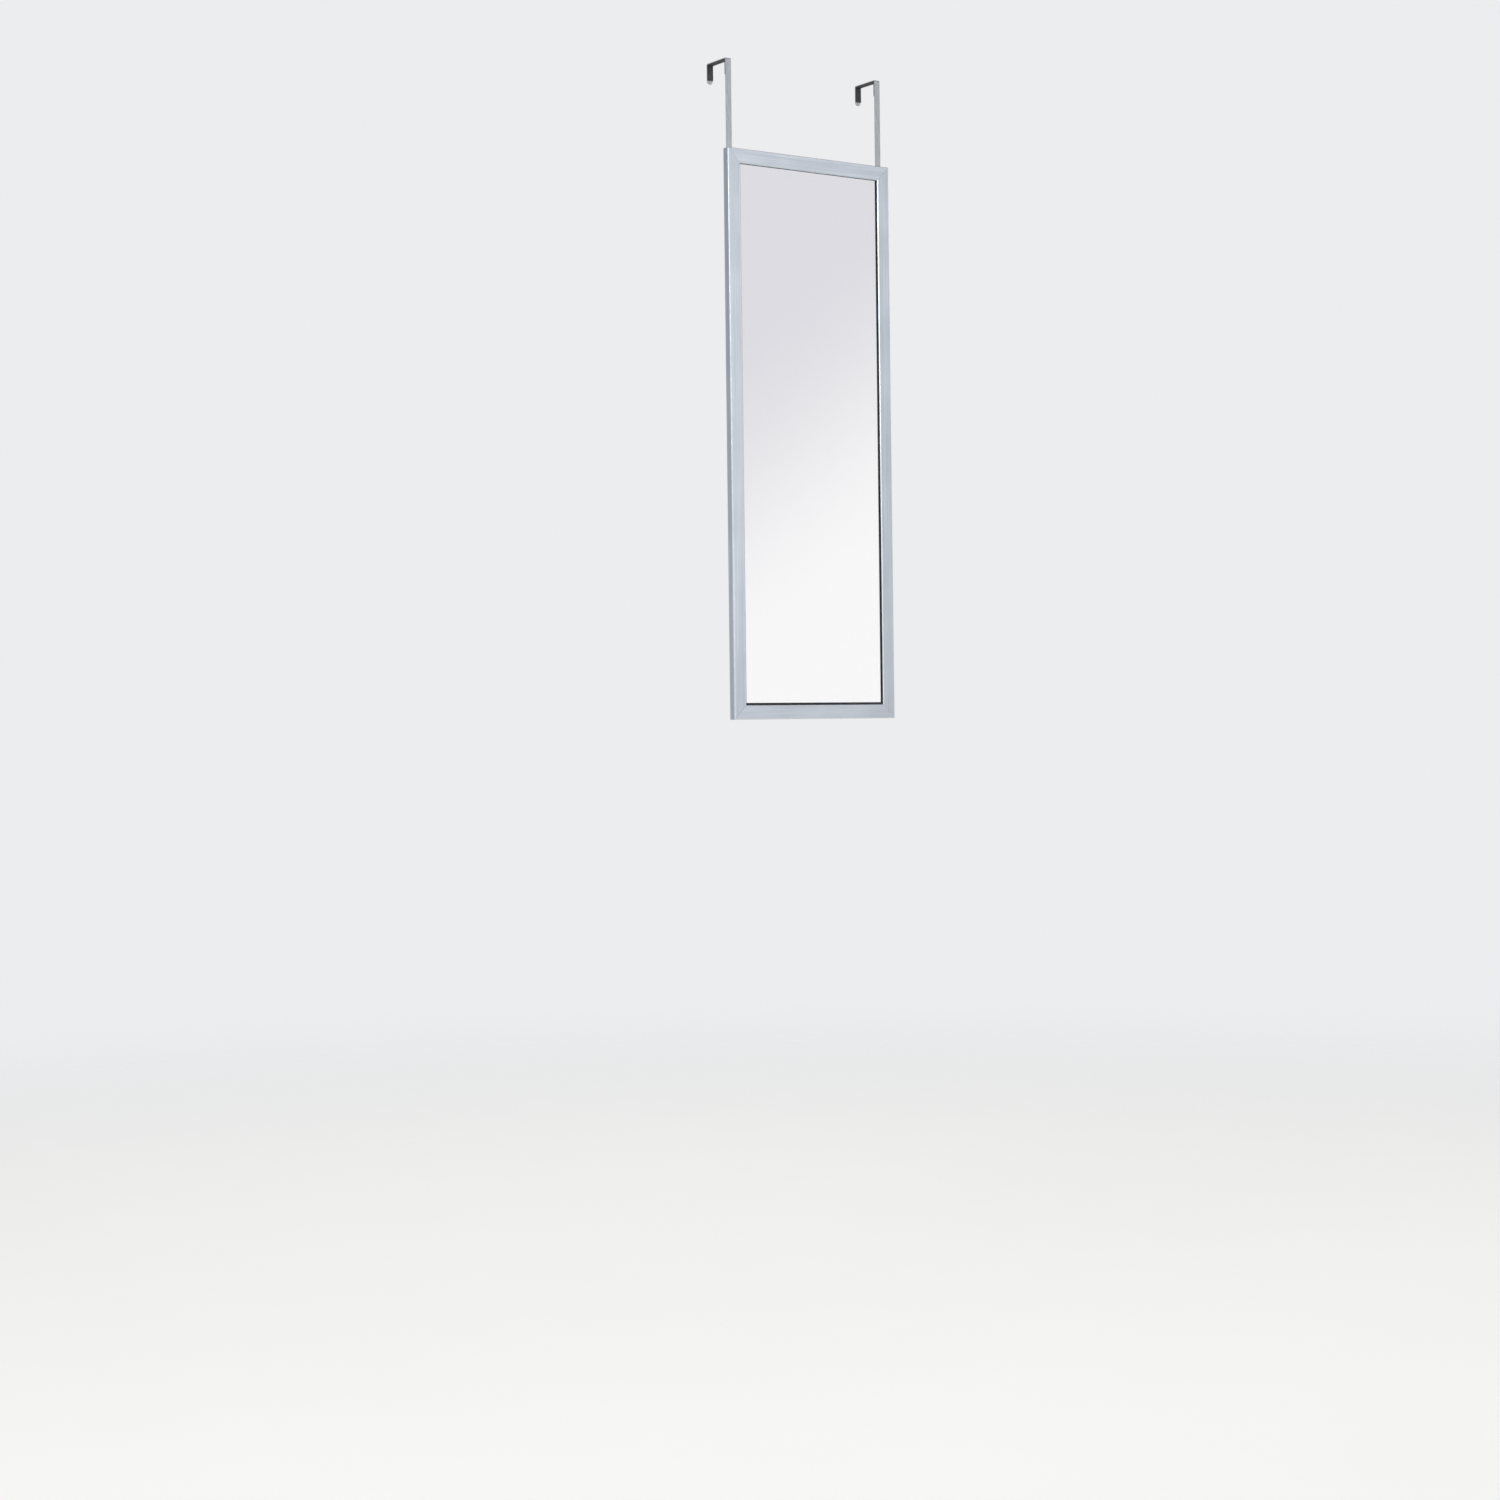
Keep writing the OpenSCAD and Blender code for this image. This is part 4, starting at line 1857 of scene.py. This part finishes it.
@dataclass(frozen=True)
class Studio:
    """A pale room: soft lamps, a plain floor at the door's foot, and walls of light."""

    floor_level: float = -2.03
    floor_radius: float = 9.0
    floor_sides: int = 96
    floor_fade: tuple[float, float] = (2.2, 6.5)
    floor_tone: Tone = Tone(232, 232, 231)
    floor_mottle: Tone = Tone(224, 224, 223)
    floor_lift: float = 0.2
    backdrop: Tone = Tone(236, 237, 239)
    diffuse_level: float = 0.7
    sheen_azimuth: float = 36.0
    sheen_waves: float = 4.0
    sheen_slant: float = 11.7
    sheen_edge: tuple[float, float] = (-9.28, -2.32)
    room_above: Colour = (0.744, 0.728, 0.765, 1)
    room_below: Colour = (0.972, 0.951, 0.947, 1)
    right_edge: tuple[float, float] = (46, 70)
    room_right: Colour = (0.8, 0.8, 0.82, 1)
    behind_edge: tuple[float, float] = (-92, -118)
    behind_height: tuple[float, float] = (0.5, 8)
    behind_below: Colour = (0.82, 0.83, 0.86, 1)
    behind_above: Colour = (0.53, 0.54, 0.57, 1)
    # azimuth, elevation, core, rim, light
    patches: tuple[RoomPatch, ...] = (
        RoomPatch(-58, 19, 13, 30, (1.36, 1.38, 1.41, 1)),
        RoomPatch(44, 34, 12, 22, (1.5, 1.5, 1.52, 1)),
        RoomPatch(98, 58, 24, 42, (0.04, 0.045, 0.05, 1)),
    )
    # name, azimuth, elevation, distance, width, height, radiance
    lamps: tuple[SoftBox, ...] = (
        SoftBox("key_left", -58, 24, 3.6, 2.6, 2.6, 5.39),
        SoftBox("strip_front", 17, 4, 1.6, 0.42, 2.3, 2.5),
        SoftBox("fill_right", 66, 12, 4.2, 2.0, 3.0, 1.94),
        SoftBox("back_left", -150, 52, 4.0, 2.4, 2.0, 1.83),
        SoftBox("back_right", 150, 34, 4.0, 2.4, 2.4, 2.69),
    )

    def reflected_room(self, shader: Shader) -> bpy.types.NodeSocket:
        """The room as metal and glass see it: pale, a tone greyer high up and on the left.

        Args:
            shader: The world's tree.

        Returns:
            The room's colour.
        """
        x, y, z = shader.parts(shader.node("ShaderNodeTexCoord").outputs["Generated"])
        azimuth = x.angle_from(y * -1.0) * DEGREES
        elevation = z.arcsine() * DEGREES
        wave = ((azimuth - self.sheen_azimuth) * math.radians(self.sheen_waves)).sine()
        bright = (wave * self.sheen_slant - elevation).smooth(*self.sheen_edge)
        room = shader.mix(bright, self.room_above, self.room_below)
        room = shader.mix(azimuth.smooth(*self.right_edge), room, self.room_right)
        behind = shader.mix(elevation.smooth(*self.behind_height), self.behind_below, self.behind_above)
        room = shader.mix(azimuth.smooth(*self.behind_edge), room, behind)
        for patch in self.patches:
            room = shader.mix(patch.share(x, y, z), room, patch.light)
        return room

    def build_world(self) -> None:
        """Lights the object plainly, and shows the pale room to the camera, metal and glass."""
        world = bpy.data.worlds.new("pale_room")
        bpy.context.scene.world = world
        world.use_nodes = True
        shader = Shader(world.node_tree)
        path = shader.node("ShaderNodeLightPath")
        camera = shader.value(path, "Is Camera Ray")
        mirrored = shader.value(path, "Is Glossy Ray").most(shader.value(path, "Is Transmission Ray"))
        level = self.diffuse_level
        plain = shader.mix(mirrored, (level, level, level, 1), self.reflected_room(shader))
        seen = shader.mix(camera, plain, self.backdrop)
        shader.end("ShaderNodeOutputWorld", shader.node("ShaderNodeBackground", None, {"Color": seen}))

    def build_floor(self) -> None:
        """Makes the floor, which fades into the room far from the object."""
        edit = bmesh.new()
        radius = self.floor_radius / MM
        bmesh.ops.create_circle(edit, cap_ends=True, radius=radius, segments=self.floor_sides)
        bmesh.ops.translate(edit, vec=(0, 0, self.floor_level / MM), verts=edit.verts)
        floor = mesh_object("studio_floor", edit)
        material = bpy.data.materials.new("studio_floor")
        material.use_nodes = True
        shader = Shader(material.node_tree)
        x, y, _ = shader.parts(shader.place())
        fade = ((x * x + y * y) ** 0.5).smooth(*self.floor_fade)
        mottle = shader.noise(shader.place(), 6, detail=3)
        colour = shader.mix(mottle * 0.25, self.floor_tone, self.floor_mottle)
        matt = shader.node("ShaderNodeBsdfDiffuse", None, {"Color": colour})
        glow = shader.node("ShaderNodeEmission", None, {"Color": colour, "Strength": self.floor_lift})
        lit = shader.node("ShaderNodeAddShader", None, {0: matt.outputs[0], 1: glow.outputs[0]})
        clear = shader.node("ShaderNodeBsdfTransparent")
        inputs = {0: fade, 1: lit.outputs[0], 2: clear.outputs[0]}
        shader.end("ShaderNodeOutputMaterial", shader.node("ShaderNodeMixShader", None, inputs))
        floor.data.materials.append(material)

    def build(self) -> None:
        """Builds the room and its lamps, and sets the plain view transform."""
        bpy.context.scene.view_settings.view_transform = "Standard"
        self.build_world()
        self.build_floor()
        low, high = CAD_BOUNDS
        for lamp in self.lamps:
            lamp.build((low + high) / 2)


def main() -> None:
    """Builds the camera, the room and every sub-assembly in order."""
    logging.basicConfig(level=logging.INFO, format="%(name)s %(message)s")
    PhotoCamera().build()
    Studio().build()
    copier = CopiesModel()
    sweeper = SweepModel()
    MouldedFrame().build(copier)
    MirrorPane().build(copier)
    for hand in Hand:
        Hanger(hand).build(sweeper)
    StrapScrews().build(copier)
    Bumpers().build(copier)


if __name__ == "__main__":
    main()
